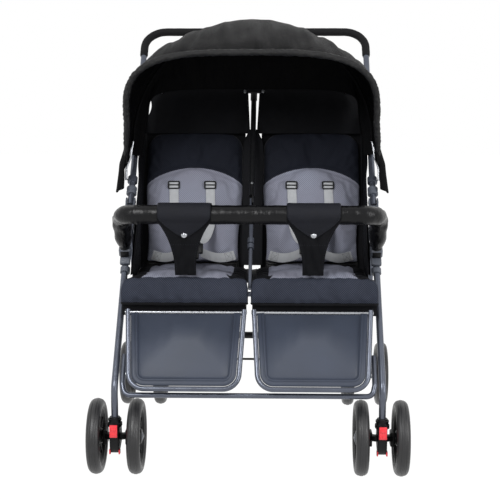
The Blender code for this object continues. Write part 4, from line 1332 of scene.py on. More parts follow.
STRAP_WIDTH = 0.0235
STRAP_THICK = 0.0015
SHOULDER_X = (-0.052, 0.042)
SHOULDER_TOP = 0.222
SLIDER_AT = 0.210
BUCKLE = (0.236, 0.486)
BUCKLE_TILT = math.radians(-38)
LAP_FACE = Vector((0, 0.45, 0.9))
for side, s in SIDES:
    pad_tree = surface_of(bpy.data.objects[f"back_pad_{side}"])
    seat_tree = surface_of(bpy.data.objects[f"seat_pad_{side}"])
    buckle_at = place(s * SEAT_X, *BUCKLE)
    sliders = []
    for number, x in enumerate(SHOULDER_X):
        x += s * BACK_X
        down = [on_back(x + 0.0035 * (SHOULDER_TOP - a) / 0.1, float(a), ABOVE_PAD)
                for a in np.linspace(SHOULDER_TOP, 0.115, 30)]
        down = laid(pad_tree, down, BACK_WAY, 0.0016)
        target = buckle_at + Vector((0.012 * (-1 if x < s * BACK_X else 1), 0.006, 0.020))
        last = down[-1]
        run = (last - down[-4]).normalized()
        free = []
        for k in range(1, 15):
            t = k / 14
            bend = last + run * (0.10 * t)
            bow = Vector((0, -0.004 * math.sin(math.pi * t), 0))
            free.append(bend.lerp(target, t * t * (3 - 2 * t)) + bow)
        path = even(down + free, 0.006)
        strap = piece(f"shoulder_strap_{side}_{number}", ribbon(path, STRAP_WIDTH, STRAP_THICK),
                      webbing, None, (), 60)
        pad_low = on_back(0, 0.12, 0.02)
        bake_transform(strap)
        middle = laid(pad_tree, [on_back(x, SLIDER_AT, ABOVE_PAD)], BACK_WAY, 0.0036)[0]
        sliders.append(frame_bar(middle, Vector((1, 0, 0)), Vector((0, *BACK_STEP)), 0.0285, 0.0190,
                                 0.0017))
    piece(f"strap_sliders_{side}", joined(sliders), black_plastic, f"backrest_{side}", (),
          40)
    box_rows = []
    for k in (-1, 1):
        path = []
        for t in np.linspace(0, 1, 26):
            x = s * SEAT_X + k * (0.104 - 0.080 * t)
            back = 0.322 - 0.080 * t
            up = 0.462 + 0.020 * t - 0.010 * math.sin(math.pi * t)
            path.append(place(x, back, up))
        lap = ribbon(path, STRAP_WIDTH, STRAP_THICK, LAP_FACE)
        piece(f"lap_strap_{side}_{'inner' if k * s < 0 else 'outer'}", lap, webbing, "root", (),
              60)
        run = (path[7] - path[2]).normalized()
        rise = (LAP_FACE - run * LAP_FACE.dot(run)).normalized()
        lift = run.cross(rise) * (0.0011 if run.cross(rise).y < 0 else -0.0011)
        a, b = path[2] + lift, path[7] + lift
        half = rise * STRAP_WIDTH * 0.40
        box_rows.append([a - half, a + half, b + half, b - half, a - half, b + half])
        box_rows.append([a + half, b - half])
    stitches(f"lap_stitches_{side}", "root", box_rows, 0.0030, 0.0022, 0.0008)
    face = Matrix.Rotation(BUCKLE_TILT, 3, "X")
    parts = [block(buckle_at + face @ Vector(spot), size, BUCKLE_TILT, edge)
             for spot, size, edge in (
                 ((0, 0, 0), (0.040, 0.011, 0.046), 0.0040),
                 ((0, -0.0058, 0.002), (0.020, 0.003, 0.020), 0.0014),
                 ((-0.0235, 0, 0.006), (0.012, 0.008, 0.026), 0.0020),
                 ((0.0235, 0, 0.006), (0.012, 0.008, 0.026), 0.0020))]
    piece(f"buckle_{side}", joined(parts), black_plastic, "root", (), 40)
    tail_foot = laid(seat_tree, [place(s * SEAT_X, 0.205, ABOVE_SEAT)], DOWN, -0.002)[0]
    tail_top = buckle_at + face @ Vector((0, 0.001, -0.020))
    tail = [tail_foot.lerp(tail_top, k / 8) + Vector((0, -0.004 * math.sin(math.pi * k / 8), 0))
            for k in range(9)]
    piece(f"buckle_strap_{side}", ribbon(tail, STRAP_WIDTH, 0.0018), webbing, "root", (),
          60)


# Leg rests: a U of painted tube hangs from a thin rod that it turns about, round a grey moulded
# panel. The panel has a rounded ridge set in from its sides and foot, and a slightly sunk middle.
LEG_REST_HINGE = (0.050, 0.371)
LEG_REST_FOOT = (-0.050, 0.215)
LEG_REST_X = 0.1468
REST_TOP_HALF = 0.1350
REST_FOOT_HALF = 0.1240
REST_CORNER = 0.037
REST_TUBE = 0.006
REST_ROD = 0.0035


def panel_look(point, uv):
    cloud = point.noise(13, 3)
    glow = point.stretched((5, 9, 9)).noise(1.0, 2)
    grain = point.noise(1100, 2)
    mix = cloud * 0.45 + glow * 0.45 + grain * 0.1
    return {
        "Base Color": mix.colours(colour("2d323c"), colour("424959")),
        "Roughness": cloud * 0.16 + grain * 0.08 + 0.34,
        "Normal": grain.bump(0.00022),
    }


panel_plastic = finish("panel_plastic", panel_look, Specular_IOR_Level=0.34)
rest_step, rest_length = heading(LEG_REST_HINGE, LEG_REST_FOOT)
rest_down = Vector((0, rest_step[0], rest_step[1]))
rest_out = Vector((0, rest_step[1], -rest_step[0]))


def rest_u(origin, inset, top, height, corner, steps=14):
    """A U over the leg rest: how far inside the tube's middle, its upper ends, and its height."""
    spots = []
    for k, a in ((1, top), (1, rest_length - inset), (-1, rest_length - inset), (-1, top)):
        half = REST_TOP_HALF + (REST_FOOT_HALF - REST_TOP_HALF) * a / rest_length - inset
        spots.append(origin + Vector((k * half, 0, 0)) + rest_down * a + rest_out * height)
    return rounded(spots, corner, steps)


for side, s in SIDES:
    origin = place(s * LEG_REST_X, *LEG_REST_HINGE)
    hoop = sweep(rest_u(origin, 0.0, -REST_TUBE, 0.0, REST_CORNER), REST_TUBE, 20)
    ends = [origin + Vector((k * REST_TOP_HALF, 0, 0)) for k in (-1, 1)]
    piece(f"rest_rod_{side}", sweep(ends, REST_ROD, 16), steel, f"leg_rest_{side}", ())
    piece(f"rest_hoop_{side}", hoop, frame_paint, f"leg_rest_{side}", [f"leg_rest_frame_{side}"])
    gap = REST_TUBE + CLEARANCE
    top = REST_ROD + CLEARANCE
    levels = [
        (0.0000, 0.0020), (0.0006, 0.0030), (0.0030, 0.0044), (0.0060, 0.0052), (0.0082, 0.0050),
        (0.0096, 0.0044), (0.0108, 0.0052), (0.0120, 0.0068), (0.0136, 0.0075), (0.0152, 0.0068),
        (0.0166, 0.0042), (0.0180, 0.0016), (0.0200, 0.0004), (0.0240, -0.0002), (0.0400, -0.0004),
        (0.0700, -0.0004), (0.1000, -0.0004),
    ]
    rows = [rest_u(origin, gap + d, top, h, max(0.008, REST_CORNER - gap - d)) for d, h in levels]
    last = rows[-1]
    middle = [[last[k].lerp(last[-1 - k], t) for t in np.linspace(0, 1, 9)]
              for k in range(len(last) // 2 + 1)]
    face = face_out(joined([skin(rows, closed=False), skin(middle, closed=False)]))
    panel = piece(f"rest_panel_{side}", face, panel_plastic, f"leg_rest_{side}",
                  [f"leg_rest_panel_{side}"], 60)
    thick = panel.modifiers.new("thickness", "SOLIDIFY")
    thick.thickness = 0.0030
    thick.offset = -1 if panel.data.polygons[0].normal.dot(rest_out) > 0 else 1
    settled(panel)
    caps = [(origin + Vector((k * (REST_TOP_HALF + REST_TUBE), 0, 0)), (k, 0, 0)) for k in (-1, 1)]
    rivets(f"rest_rivets_{side}", f"leg_rest_{side}", caps, 0.0030)


# Bumper bar: a foam-covered tube in a glossy black sleeve that wrinkles at its two bends, with
# plastic ends that plug into the sockets.
BUMPER_RADIUS = 0.0225
BUMPER_CENTRE = (0.050, 0.600)
BAR_PITCH = 0.004
BAR_END_RADIUS = 0.0118


def sleeve_look(point, uv):
    folds = point.stretched((46, 16, 16)).noise(1.0, 3, 0.55)
    weave = dots(uv, 0.0016)
    return {
        "Base Color": folds.colours(colour("040405"), colour("0c0c0f")),
        "Roughness": folds * 0.16 + 0.15,
        "Normal": (folds * 3.0 + weave * 0.06).bump(0.0013),
    }


sleeve_cloth = finish("sleeve_cloth", sleeve_look, Specular_IOR_Level=0.22)
bar_half = [place(SIDE_X, *BUMPER_END), place(SIDE_X, *BUMPER_KNEE), place(0.285, *BUMPER_CENTRE)]
bar_path = even(rounded(mirrored(bar_half), 0.042, 12), BAR_PITCH)
bar_last = len(bar_path) - 1
bar_radii = []
for i in range(bar_last + 1):
    from_end = min(i, bar_last - i) * BAR_PITCH
    grown_out = min(1.0, max(0.0, (from_end - 0.004) / 0.030)) ** 0.6
    bar_radii.append(BAR_END_RADIUS + (BUMPER_RADIUS - BAR_END_RADIUS) * grown_out)


def bar_wrinkle(i, angle):
    """Folds across the sleeve, deepest at the bends."""
    from_end = min(i, bar_last - i) * BAR_PITCH
    bent = wave(from_end, 0.090, 0.085)
    spot = Vector((i * BAR_PITCH * 46, math.cos(angle) * 1.3, math.sin(angle) * 1.3))
    fold = noise.noise(spot) * (0.0008 + 0.0034 * bent)
    calm = min(1.0, from_end / 0.02)
    return (fold - 0.0009 * bent) * calm - 0.0004


bar = piece("bumper_sleeve", sweep(bar_path, bar_radii, 36, False, bar_wrinkle), sleeve_cloth,
            "bumper", ["bumper_bar"], 180)
for side, s in SIDES:
    ring = [on_bar_end(s * SIDE_X, d) for d in (-0.0003, 0.0002, 0.0085, 0.0100)]
    piece(f"bar_end_{side}", sweep(ring, [0.0110, 0.0128, 0.0136, 0.0118]), black_plastic, "bumper",
          ())


# Crotch pieces: black cloth as wide as a hand over the bar, which narrows down to the seat's
# front edge. A rounded flap folds over it from the bar and closes with a press stud.
WRAP_ROWS, FALL_ROWS = 26, 34
CROTCH_FOOT = (0.0650, 0.4560)
FLAP_DROP = 0.052


def crotch_line(lift=0.0):
    """(back, up) places round the bar from behind and then down to the seat, with half widths."""
    wrap = BUMPER_RADIUS + 0.0034 + lift
    spots = []
    for k in range(WRAP_ROWS):
        angle = math.radians(-40 + 250 * k / (WRAP_ROWS - 1))
        spots.append((BUMPER_CENTRE[0] + wrap * math.cos(angle),
                      BUMPER_CENTRE[1] + wrap * math.sin(angle), 0.0622))
    last = spots[-1]
    for k in range(1, FALL_ROWS + 1):
        f = k / FALL_ROWS
        spots.append((last[0] + (CROTCH_FOOT[0] - last[0]) * f - 0.004 * math.sin(math.pi * f),
                      last[1] + (CROTCH_FOOT[1] - last[1]) * f, 0.0247 + 0.0375 * (1 - f) ** 2.6))
    return spots


def stiffened(thing, thick=0.0014):
    """The sheet with this thickness, smoothed."""
    modifier = thing.modifiers.new("thickness", "SOLIDIFY")
    modifier.thickness = thick
    modifier.offset = 0
    return subdivided(thing)


stud_spots = []
for side, s in SIDES:
    line = crotch_line()
    rows = []
    for i, (back, up, half) in enumerate(line):
        below = max(0.0, i - WRAP_ROWS) / FALL_ROWS
        row = []
        for t in np.linspace(-1, 1, 25):
            ripple = noise.noise(Vector((t * 2.6, i * 0.11, 5.0 * s))) * 0.0042 * min(1, below * 3)
            gather = 0.0014 * math.sin(9 * t + 2) * below ** 2
            row.append(place(s * SEAT_X + half * t, back + ripple + gather, up))
        rows.append(row)
    strap = piece(f"crotch_{side}", skin(rows, closed=False), black_fabric, "root",
                  [f"crotch_piece_{side}"], 180)
    stiffened(strap, 0.0026)
    raised = crotch_line(0.0030)
    flap_rows = []
    for i in range(14, WRAP_ROWS + FALL_ROWS):
        back, up, half = raised[i]
        fallen = max(0.0, BUMPER_CENTRE[1] - up) / FLAP_DROP if i > 20 else 0.0
        if fallen > 1:
            break
        reach = 0.0590 * (1 - fallen ** 1.5) + 0.0020
        flap_rows.append([
            place(s * SEAT_X + reach * t, back - 0.0016 - 0.0012 * (1 - t * t)
                  + 0.0008 * noise.noise(Vector((t * 3, i * 0.3, 9.0))), up)
            for t in np.linspace(-1, 1, 21)
        ])
        tip = (back, up)
    flap = piece(f"crotch_flap_{side}", skin(flap_rows, closed=False), flap_cloth, "root", (),
                 180)
    stiffened(flap, 0.0018)
    tree = surface_of(strap, flap)
    hems = []
    for k in (-1, 1):
        edge = [Vector(row[10 + 10 * k]) for row in flap_rows
                if row[0].z < BUMPER_CENTRE[1] + 0.012]
        hems.append([p + Vector((-0.0035 * k, -0.0012, 0)) for p in edge])
        side_edge = []
        for back, up, half in line[WRAP_ROWS:-3]:
            side_edge.append(place(s * SEAT_X + k * (half - 0.0040), back - 0.05, up))
        hems.append(laid(tree, side_edge, REARWARD))
    seam_up = BUMPER_CENTRE[1] - FLAP_DROP - 0.016
    across = [place(s * SEAT_X + 0.040 * t, -0.02, seam_up) for t in np.linspace(-1, 1, 30)]
    hems.append([p for p in laid(tree, across, REARWARD) if p.y > across[0].y + 0.002])
    stitches(f"crotch_stitches_{side}", "root", hems)
    stud_spots.append((place(s * SEAT_X, tip[0] - 0.0046, tip[1] + 0.0050), (0, -1, 0.15)))
rivets("crotch_studs", "root", stud_spots, 0.0050, 0.45)


# Rear frame: painted legs with moulded wheel mounts, a black cross tube, and the parking brake,
# a thin bar that joins two pedals. Grey caps close all eight hubs.
REAR_STEP, _ = heading(REAR_HINGE, (REAR_AXLE_BACK, WHEEL_RADIUS))
on_rear_leg = on_line(REAR_HINGE, REAR_STEP)
REAR_TUBE_END = 0.488
REAR_BAR_AT = 0.3786
for side, s in SIDES:
    line = [on_rear_leg(s * SIDE_X, d) for d in (-0.009, REAR_TUBE_END)]
    piece(f"leg_rear_{side}", sweep(line, TUBE_RADIUS), frame_paint, "rear_frame",
          [f"rear_leg_{side}"])
    foot = s * PAIR_X
    shell = [along(REAR_HINGE, REAR_STEP, d, off) for d, off in (
        (REAR_TUBE_END + CLEARANCE, 0.0125), (0.5150, 0.0155), (0.5380, 0.0155), (0.5475, 0.0080),
        (0.5475, -0.0080), (0.5380, -0.0155), (0.5150, -0.0155),
        (REAR_TUBE_END + CLEARANCE, -0.0125))]
    parts = [plate(shell, foot - 0.0190, foot + 0.0190, 0.0030)]
    for half, radius, sides in ((0.0225, 0.0130, 28), (0.0625, 0.0040, 16)):
        axle = [place(foot + x, REAR_AXLE_BACK, WHEEL_RADIUS) for x in (-half, half)]
        parts.append(sweep(axle, radius, sides))
    neck = [on_rear_leg(s * SIDE_X, d) for d in
            (REAR_TUBE_END - 0.030, REAR_TUBE_END - 0.029, REAR_TUBE_END, REAR_TUBE_END + 0.010)]
    parts.append(sweep(neck, [0.0100, 0.0122, 0.0128, 0.0128]))
    piece(f"wheel_mount_{side}", joined(parts), black_plastic, "rear_frame",
          [f"rear_wheel_mount_{side}"])
rear_bar = [on_rear_leg(k * (SIDE_X - TUBE_RADIUS - CLEARANCE), REAR_BAR_AT) for k in (-1, 1)]
piece("cross_tube_rear", sweep(rear_bar, 0.009), black_plastic, "rear_frame",
      ["rear_cross_tube"])
rear_rivets = []
for _, s in SIDES:
    tube_face = s * (SIDE_X + TUBE_RADIUS + CLEARANCE)
    rear_rivets.append((on_rear_leg(tube_face, REAR_BAR_AT), (s, 0, 0)))
    for k in (-1, 1):
        neck_face = s * SIDE_X + k * (TUBE_RADIUS + 0.0037)
        rear_rivets.append((on_rear_leg(neck_face, REAR_TUBE_END - 0.010), (k, 0, 0)))
rivets("rear_bolts", "rear_frame", rear_rivets)
redone("parking_brake", "brake_bar", black_plastic, 0.0012)
for row, name, centre, way in wheels:
    cap = [centre + Vector((way * (HUB_HALF - 0.0012 + d), 0, 0))
           for d in (0.0, 0.0022, 0.0034, 0.0038)]
    piece(f"hub_cap_{row}_{name}", sweep(cap, [0.0110, 0.0108, 0.0080, 0.0020], 28), grey_plastic,
          f"{row}_wheel_{name}", (), 50)
for side, s in SIDES:
    keep(f"front_axle_{side}", steel)


# Handle: a wide bent tube with a black foam grip over its top, a cross bar, and a post down the
# middle between the seats. Grey collars at its foot slide up to let it fold.
HANDLE_TOP = (0.7017, 1.026)
HANDLE_CORNER = 0.058
HANDLE_BAR_AT = 0.370
CANOPY_PIVOT_AT = 0.068
GRIP_LENGTH = 0.092
GRIP_RADIUS = 0.0107
GRIP_PITCH = 0.006
COLLAR_AT = (0.022, 0.044)
HANDLE_STEP, HANDLE_LENGTH = heading(FOLD_HINGE, HANDLE_TOP)
on_handle = on_line(FOLD_HINGE, HANDLE_STEP)
CANOPY_PIVOT = along(FOLD_HINGE, HANDLE_STEP, CANOPY_PIVOT_AT)


def foam_look(point, uv):
    pores = point.noise(2300, 2, 0.6)
    cloud = point.noise(45, 4)
    return {
        "Base Color": (cloud * 0.6 + pores * 0.4).colours(colour("0c0c0d"), colour("1a1a1c")),
        "Roughness": cloud * 0.15 + 0.62,
        "Normal": (pores * 0.7 + cloud * 0.8).bump(0.0005),
    }


grip_foam = finish("grip_foam", foam_look, Specular_IOR_Level=0.15)
handle_half = [on_handle(SIDE_X, -0.009), place(SIDE_X, *HANDLE_TOP)]
handle_path = rounded(mirrored(handle_half), HANDLE_CORNER, 14)
clamps = []
for _, s in SIDES:
    ring = [on_handle(s * SIDE_X, CANOPY_PIVOT_AT + d) for d in (-0.009, -0.0075, 0.0075, 0.009)]
    clamps.append(sweep(ring, [0.0105, 0.0125, 0.0125, 0.0105]))
piece("handle_bow", joined([sweep(handle_path, TUBE_RADIUS)] + clamps), frame_paint, "handle_frame",
      ["handle_tube"])
grip_ends = [on_handle(k * SIDE_X, HANDLE_LENGTH - GRIP_LENGTH) for k in (1, -1)]
grip_path = even(grip_ends[:1] + handle_path[1:-1] + grip_ends[1:], GRIP_PITCH)
grip_last = len(grip_path) - 1
grip_radii = [GRIP_RADIUS - (0.0016 if i in (0, grip_last) else 0.0) for i in range(grip_last + 1)]


def foam_dents(i, angle):
    return 0.00035 * noise.noise(Vector((i * 0.5, math.cos(angle) * 2, math.sin(angle) * 2)))


grip = sweep(grip_path, grip_radii, 28, False, foam_dents)
piece("foam_grip", grip, grip_foam, "handle_frame", ["handle_grip"], 60)
bar_ends = [on_handle(k * (SIDE_X - TUBE_RADIUS - CLEARANCE), HANDLE_BAR_AT) for k in (-1, 1)]
piece("handle_bar", sweep(bar_ends, 0.0075), black_plastic, "handle_frame", ["handle_cross_bar"])
post_ends = [on_handle(0, d) for d in (0.019, HANDLE_BAR_AT - 0.0082)]
post_tongue = block(on_handle(0.0024, 0.016), (0.0044, 0.015, 0.044), slope(HANDLE_STEP), 0.001)
cuff = [on_handle(0, HANDLE_BAR_AT - d) for d in (0.034, 0.033, 0.0095, 0.0085)]
piece("post_centre", joined([sweep(post_ends, 0.007), post_tongue,
                             sweep(cuff, [0.0074, 0.0088, 0.0088, 0.0080])]),
      black_plastic, "handle_frame", ["centre_post"])
for side, s in SIDES:
    ring = [on_handle(s * SIDE_X, d) for d in
            (COLLAR_AT[0], COLLAR_AT[0] + 0.0015, 0.030, 0.031, 0.036, 0.037,
             COLLAR_AT[1] - 0.0015, COLLAR_AT[1])]
    collar = sweep(ring, [0.0115, 0.0130, 0.0130, 0.0122, 0.0122, 0.0130, 0.0130, 0.0115])
    piece(f"fold_collar_{side}", collar, grey_plastic, f"lock_collar_{side}",
          [f"lock_collar_{side}"])
handle_front = (0, -HANDLE_STEP[1], HANDLE_STEP[0])
screws = [(on_handle(0, d, off), handle_front) for d, off in
          ((0.055, 0.0068), (HANDLE_BAR_AT - 0.020, 0.0068), (HANDLE_BAR_AT, 0.0074))]
pivot_caps = [(place(s * (SIDE_X + 0.0122), *CANOPY_PIVOT), (s, 0, 0)) for _, s in SIDES]
rivets("handle_screws", "handle_frame", screws + pivot_caps)


# Canopy: one sewn sheet of black cloth over two steel bows that swing about clamps on the
# handle. It gathers in folds on its top, is padded along its front edge, and ends at each side
# in a loose tail over the clamp.
FRONT_BOW_ANGLE = math.radians(115)
MID_BOW_ANGLE = math.radians(75)
REAR_EDGE_ANGLE = math.radians(50)
FRONT_BOW_REACH = 0.359
MID_BOW_REACH = 0.420
REAR_EDGE_REACH = 0.293
BOW_RADIUS = 0.003


def reach_at(angle):
    """The canopy's reach from its pivots at its middle, with a dip between the bows."""
    if angle >= MID_BOW_ANGLE:
        f = (angle - MID_BOW_ANGLE) / (FRONT_BOW_ANGLE - MID_BOW_ANGLE)
        dip = math.sin(math.pi * min(1.0, f))
        return MID_BOW_REACH + (FRONT_BOW_REACH - MID_BOW_REACH) * f - 0.014 * dip
    f = (MID_BOW_ANGLE - angle) / (MID_BOW_ANGLE - REAR_EDGE_ANGLE)
    return MID_BOW_REACH + (REAR_EDGE_REACH - MID_BOW_REACH) * f ** 1.15


def side_at(angle):
    """Half the canopy's width low down: outside the handle tubes, then inside them at the rear."""
    f = min(1.0, max(0.0, (math.radians(66) - angle) / math.radians(7)))
    return 0.3205 - 0.0345 * f


def shoulder_at(angle):
    """The arch's shoulder height and squareness."""
    if angle >= MID_BOW_ANGLE:
        f = (angle - MID_BOW_ANGLE) / (FRONT_BOW_ANGLE - MID_BOW_ANGLE)
        return 0.305 + (0.193 - 0.305) * f, 1.96 + 1.44 * f
    f = (MID_BOW_ANGLE - angle) / (MID_BOW_ANGLE - REAR_EDGE_ANGLE)
    return 0.305 + (0.080 - 0.305) * f, 1.96 + 2.8 * f


def arch_flat(angle, low, inset, columns, end_x=None):
    """(x, reach) places of one arch, from the left side over the top to the right side."""
    reach, half = reach_at(angle) - inset, side_at(angle) - inset
    shoulder, squareness = shoulder_at(angle)
    straight = reach - shoulder
    half_points = []
    count = columns // 2
    for k in range(count + 1):
        f = k / count
        if f < 0.25:
            r = low + (straight - low) * f / 0.25
            x = half - 0.010 * (r / straight) ** 2
            if end_x is not None and r < 0.060:
                x = end_x + (x - end_x) * max(0.0, (r - 0.030) / 0.030)
        else:
            turn = (f - 0.25) / 0.75 * math.pi / 2
            x = (half - 0.010) * math.cos(turn) ** (2 / squareness) if k < count else 0.0
            r = straight + shoulder * math.sin(turn) ** (2 / squareness)
        half_points.append((x, r))
    return [(-x, r) for x, r in half_points] + [(x, r) for x, r in reversed(half_points[:-1])]


def arch(angle, low, inset=0.0, columns=121, end_x=None):
    """The same places in space, spread evenly along the arch."""
    spin = (math.cos(angle), math.sin(angle))
    points = [place(x, *along(CANOPY_PIVOT, spin, r))
              for x, r in arch_flat(angle, low, inset, 4 * columns + 1, end_x)]
    return respaced(points, columns)


def canopy_look(point, uv):
    weave = dots(uv, 0.0014)
    long_folds = point.stretched((34, 7, 7)).noise(1.0, 4, 0.6)
    cloud = point.noise(16, 4)
    return {
        "Base Color": (cloud * 0.7 + weave * 0.3).colours(colour("030304"), colour("0a0a0c")),
        "Roughness": long_folds * 0.25 + weave * 0.06 + 0.34,
        "Normal": (long_folds * 3.4 + cloud * 1.0 + weave * 0.2).bump(0.0014),
    }


canopy_cloth = finish("canopy_cloth", canopy_look, Specular_IOR_Level=0.05)
rim_cloth = finish("rim_cloth", canopy_look, Specular_IOR_Level=0.34)


def canopy_spot(p, angle, index, columns):
    """A place on the sheet, with its gathers and sag."""
    spin = Vector((0, math.cos(angle), math.sin(angle)))
    t = 2 * index / (columns - 1) - 1
    if angle >= MID_BOW_ANGLE:
        f = (angle - MID_BOW_ANGLE) / (FRONT_BOW_ANGLE - MID_BOW_ANGLE)
        deep = 0.0088 * math.sin(math.pi * min(1, f)) ** 0.7
    else:
        f = (MID_BOW_ANGLE - angle) / (MID_BOW_ANGLE - REAR_EDGE_ANGLE)
        deep = 0.0060 * math.sin(math.pi * min(1, f))
    gather = noise.noise(Vector((t * 17, f * 0.9, 4.0)))
    gather += 0.5 * noise.noise(Vector((t * 39, f * 1.7, 8.0)))
    soft = 0.0022 * noise.noise(Vector((t * 6, f * 3, 1.0)))
    return p + spin * (deep * gather + soft * math.sin(math.pi * min(1, f)))


CANOPY_ROWS, CANOPY_COLUMNS = 59, 161
sheet_rows = []
for k in range(CANOPY_ROWS):
    angle = FRONT_BOW_ANGLE + (REAR_EDGE_ANGLE - FRONT_BOW_ANGLE) * k / (CANOPY_ROWS - 1)
    low = 0.068 + 0.020 * wave(angle, math.radians(85), math.radians(25))
    line = arch(angle, low, 0.0015, CANOPY_COLUMNS)
    sheet_rows.append([canopy_spot(p, angle, i, CANOPY_COLUMNS) for i, p in enumerate(line)])
hood = piece("canopy_sheet", skin(sheet_rows, closed=False), canopy_cloth, None, ["canopy_fabric"],
             180)
stiffened(hood, 0.0016)
pivot_spot = place(0, *CANOPY_PIVOT)
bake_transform(hood)

# The padded front edge: a stuffed tube of the same cloth, puckered by its seam.
rim_line = arch(FRONT_BOW_ANGLE + 0.006, 0.050, 0.002, 321)
rim_last = len(rim_line) - 1
RIM_SIDES = 22
rim_rows, rim_seam = [], []
front_way = Vector((0, -math.sin(FRONT_BOW_ANGLE), math.cos(FRONT_BOW_ANGLE)))
for i, point in enumerate(rim_line):
    run = (rim_line[min(i + 1, rim_last)] - rim_line[max(i - 1, 0)]).normalized()
    out = run.cross(front_way).normalized()
    if out.dot(point - pivot_spot) < 0:
        out = -out
    near_end = min(i, rim_last - i) / rim_last
    full = min(1.0, 0.45 + near_end * 7)
    middle = point - out * 0.0024 * full + front_way * 0.002
    row = []
    for k in range(RIM_SIDES):
        a = 2 * math.pi * k / RIM_SIDES
        pucker = noise.noise(Vector((i * 0.50, math.cos(a) * 1.2, math.sin(a) * 1.2))) * 0.0021
        row.append(middle + out * (math.cos(a) * (0.0078 * full + pucker))
                   + front_way * (math.sin(a) * (0.0070 * full + pucker)))
    rim_rows.append(row)
    rim_seam.append(middle - out * 0.0030 * full + front_way * 0.0068 * full)
rim_pad = piece("canopy_rim", skin(rim_rows), rim_cloth, "canopy_front", (), 180)
stitches("rim_stitches", "canopy_front", [rim_seam[12:-12]])

# Steel bows in black sleeves of the same cloth, bare only at their ends.
def sleeve_dents(i, angle):
    return 0.0004 * noise.noise(Vector((i * 0.6, math.cos(angle), math.sin(angle))))


for name, angle, end_x, bare in (("front", FRONT_BOW_ANGLE - 0.035, 0.3265, 3),
                                 ("mid", MID_BOW_ANGLE, 0.3195, 14)):
    bow = arch(angle, 0.0, 0.0085, 161, end_x)
    piece(f"bow_{name}", sweep(bow, BOW_RADIUS, 14), steel, f"canopy_{name}",
          [f"canopy_{name}_bow"])
    sleeve = sweep(bow[bare:-bare], 0.0040, 12, False, sleeve_dents)
    piece(f"bow_casing_{name}", sleeve, canopy_cloth, f"canopy_{name}", (), 180)

# Loose tails at the canopy's lower front corners, outside the clamps.
TAIL_ROWS, TAIL_COLUMNS = 21, 17
for side, s in SIDES:
    rows = []
    for i in range(TAIL_ROWS):
        f = i / (TAIL_ROWS - 1)
        row = []
        for j in range(TAIL_COLUMNS):
            g = j / (TAIL_COLUMNS - 1)
            angle = FRONT_BOW_ANGLE + math.radians(4 - 34 * g)
            top = along(CANOPY_PIVOT, (math.cos(angle), math.sin(angle)), 0.086)
            low = (CANOPY_PIVOT[0] - 0.040 + 0.046 * g,
                   CANOPY_PIVOT[1] - 0.018 - 0.012 * math.sin(math.pi * g))
            fold = 0.0040 * math.sin(5.2 * g + 1.0)
            fold += 0.0015 * noise.noise(Vector((g * 4, f * 3, 6.0)))
            flare = 0.0110 * min(1.0, 3 * f) + 0.0110 * f * f
            wrap = (0.010 + 0.016 * f) * max(0.0, 1 - g / 0.35) ** 1.4
            row.append(place(s * (0.3200 + flare - wrap + fold * f), top[0] + (low[0] - top[0]) * f,
                             top[1] + (low[1] - top[1]) * f))
        rows.append(row)
    tail = piece(f"canopy_tail_{side}", skin(rows, closed=False), canopy_cloth, "canopy_front", (),
                 180)
    stiffened(tail, 0.0016)


# Back curtain: two panels of loose black cloth from the handle's cross bar down to the tops of
# the backrests, joined by a band behind the post and held by press studs. The left panel is
# drawn in a little at its outer edge.
curtain_top = along(FOLD_HINGE, HANDLE_STEP, HANDLE_BAR_AT - 0.004, 0.0140)
curtain_low = along(RECLINE_HINGE, BACK_STEP, BACK_LENGTH + 0.0015, 0.004)
curtain_step, curtain_length = heading(curtain_low, curtain_top)
on_curtain = on_line(curtain_low, curtain_step)
CURTAIN_ROWS, CURTAIN_COLUMNS = 33, 49
curtain_parts = []
for side, s in SIDES:
    grid = []
    drawn_in = 0.0150 if side == "left" else 0.0
    for i in range(CURTAIN_ROWS):
        f = i / (CURTAIN_ROWS - 1)
        inner, outer = 0.0085 + 0.0065 * f, 0.2870 - drawn_in * wave(f, 0.62, 0.42)
        row = []
        for j in range(CURTAIN_COLUMNS):
            x = inner + (outer - inner) * j / (CURTAIN_COLUMNS - 1)
            sag = 0.004 * math.cos(10 * x) + 0.003 * noise.noise(Vector((s * x * 22, f * 2, 3)))
            row.append(on_curtain(s * x, curtain_length * f, sag * math.sin(math.pi * f)))
        grid.append(row)
    curtain_parts.append(skin(grid, closed=False))
band = [[on_curtain(x, curtain_length - d) for x in np.linspace(-0.015, 0.015, 9)]
        for d in (0.011, 0.008, 0.004, 0.001)]
curtain_parts.append(skin(band, closed=False))
curtain = piece("back_curtain", joined(curtain_parts), black_fabric, "handle_frame",
                ["back_extension"], 180)
stiffened(curtain)
curtain_front = (0, -curtain_step[1], curtain_step[0])
studs = [(on_curtain(x, curtain_length - 0.010, 0.0020), curtain_front)
         for x in (-0.244, -0.024, 0.024, 0.244)]
rivets("curtain_studs", "handle_frame", studs, 0.0038, 0.4)


# Side walls: black cloth at each outer side, from the seat up to the handle's cross bar. A cover
# behind each backrest closes the gaps beside it, a valance hangs behind each lip, and a divider
# and a gusset close the gap between the two seats.
def wall_sheet(name, spot, rows=34, columns=18):
    """A sheet of black cloth whose places are spot(f, g), f from its foot to its top."""
    grid = [[spot(i / (rows - 1), j / (columns - 1)) for j in range(columns)] for i in range(rows)]
    wall = piece(name, skin(grid, closed=False), black_fabric, None, (), 180)
    stiffened(wall)
    return wall


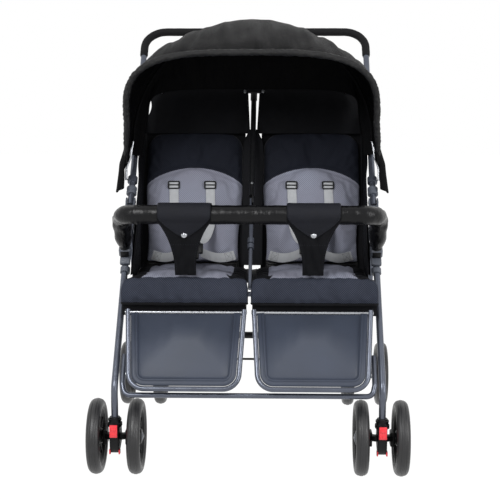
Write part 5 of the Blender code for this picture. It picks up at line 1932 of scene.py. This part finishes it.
WALL_FOOT = ((0.150, 0.438), (0.354, 0.426))
WALL_TOP = ((0.478, 0.800), (0.550, 0.838))
COVER_LENGTH = BACK_LENGTH + 0.024
for side, s in SIDES:
    def outer_spot(f, g):
        low = Vector(WALL_FOOT[0]).lerp(Vector(WALL_FOOT[1]), g)
        high = Vector(WALL_TOP[0]).lerp(Vector(WALL_TOP[1]), g)
        back, up = low.lerp(high, f)
        drape = 0.0010 * noise.noise(Vector((f * 5, g * 3, 2.0 + s))) * math.sin(math.pi * f)
        edge = 0.2880 + 0.0046 * min(1.0, max(0.0, (up - 0.662) / 0.025))
        return place(s * (edge + (0.2852 - edge) * g + drape), back, up)

    outer = wall_sheet(f"side_wall_{side}_outer", outer_spot)
    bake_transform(outer)

    def cover_spot(f, g):
        drape = 0.0008 * noise.noise(Vector((f * 9, g * 6, 7.0 + s)))
        return on_back(s * (0.0205 + 0.2680 * g), -0.010 + COVER_LENGTH * f, -0.0118 + drape)

    cover = wall_sheet(f"back_cover_{side}", cover_spot,
                       34, 30)
    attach(cover, f"backrest_{side}")

    def valance_spot(f, g):
        drape = 0.0010 * noise.noise(Vector((f * 2, g * 9, 3.0 + s)))
        return place(s * (0.0062 + 0.2925 * g), 0.0700 + drape, 0.3930 - 0.0335 * f)

    valance = wall_sheet(f"lip_valance_{side}", valance_spot,
                         8, 40)
    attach(valance, "root")


def divider_spot(f, g):
    drape = 0.0016 * noise.noise(Vector((f * 6, g * 3, 5.0))) * math.sin(math.pi * f)
    x = (0.0262 - 0.0160 * max(0.0, f - 0.9) / 0.1) * (2 * g - 1)
    return place(x, *along((0.318, 0.436), BACK_STEP, 0.372 * f, 0.002 + drape))


divider = wall_sheet("centre_divider", divider_spot,
                     40, 14)
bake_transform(divider)


def gusset_spot(f, g):
    return place(-0.0145 + 0.0290 * g, 0.140 + 0.188 * f, 0.4270 - 0.0030 * math.sin(math.pi * g))


gusset = wall_sheet("centre_gusset", gusset_spot,
                    20, 6)
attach(gusset, "root")
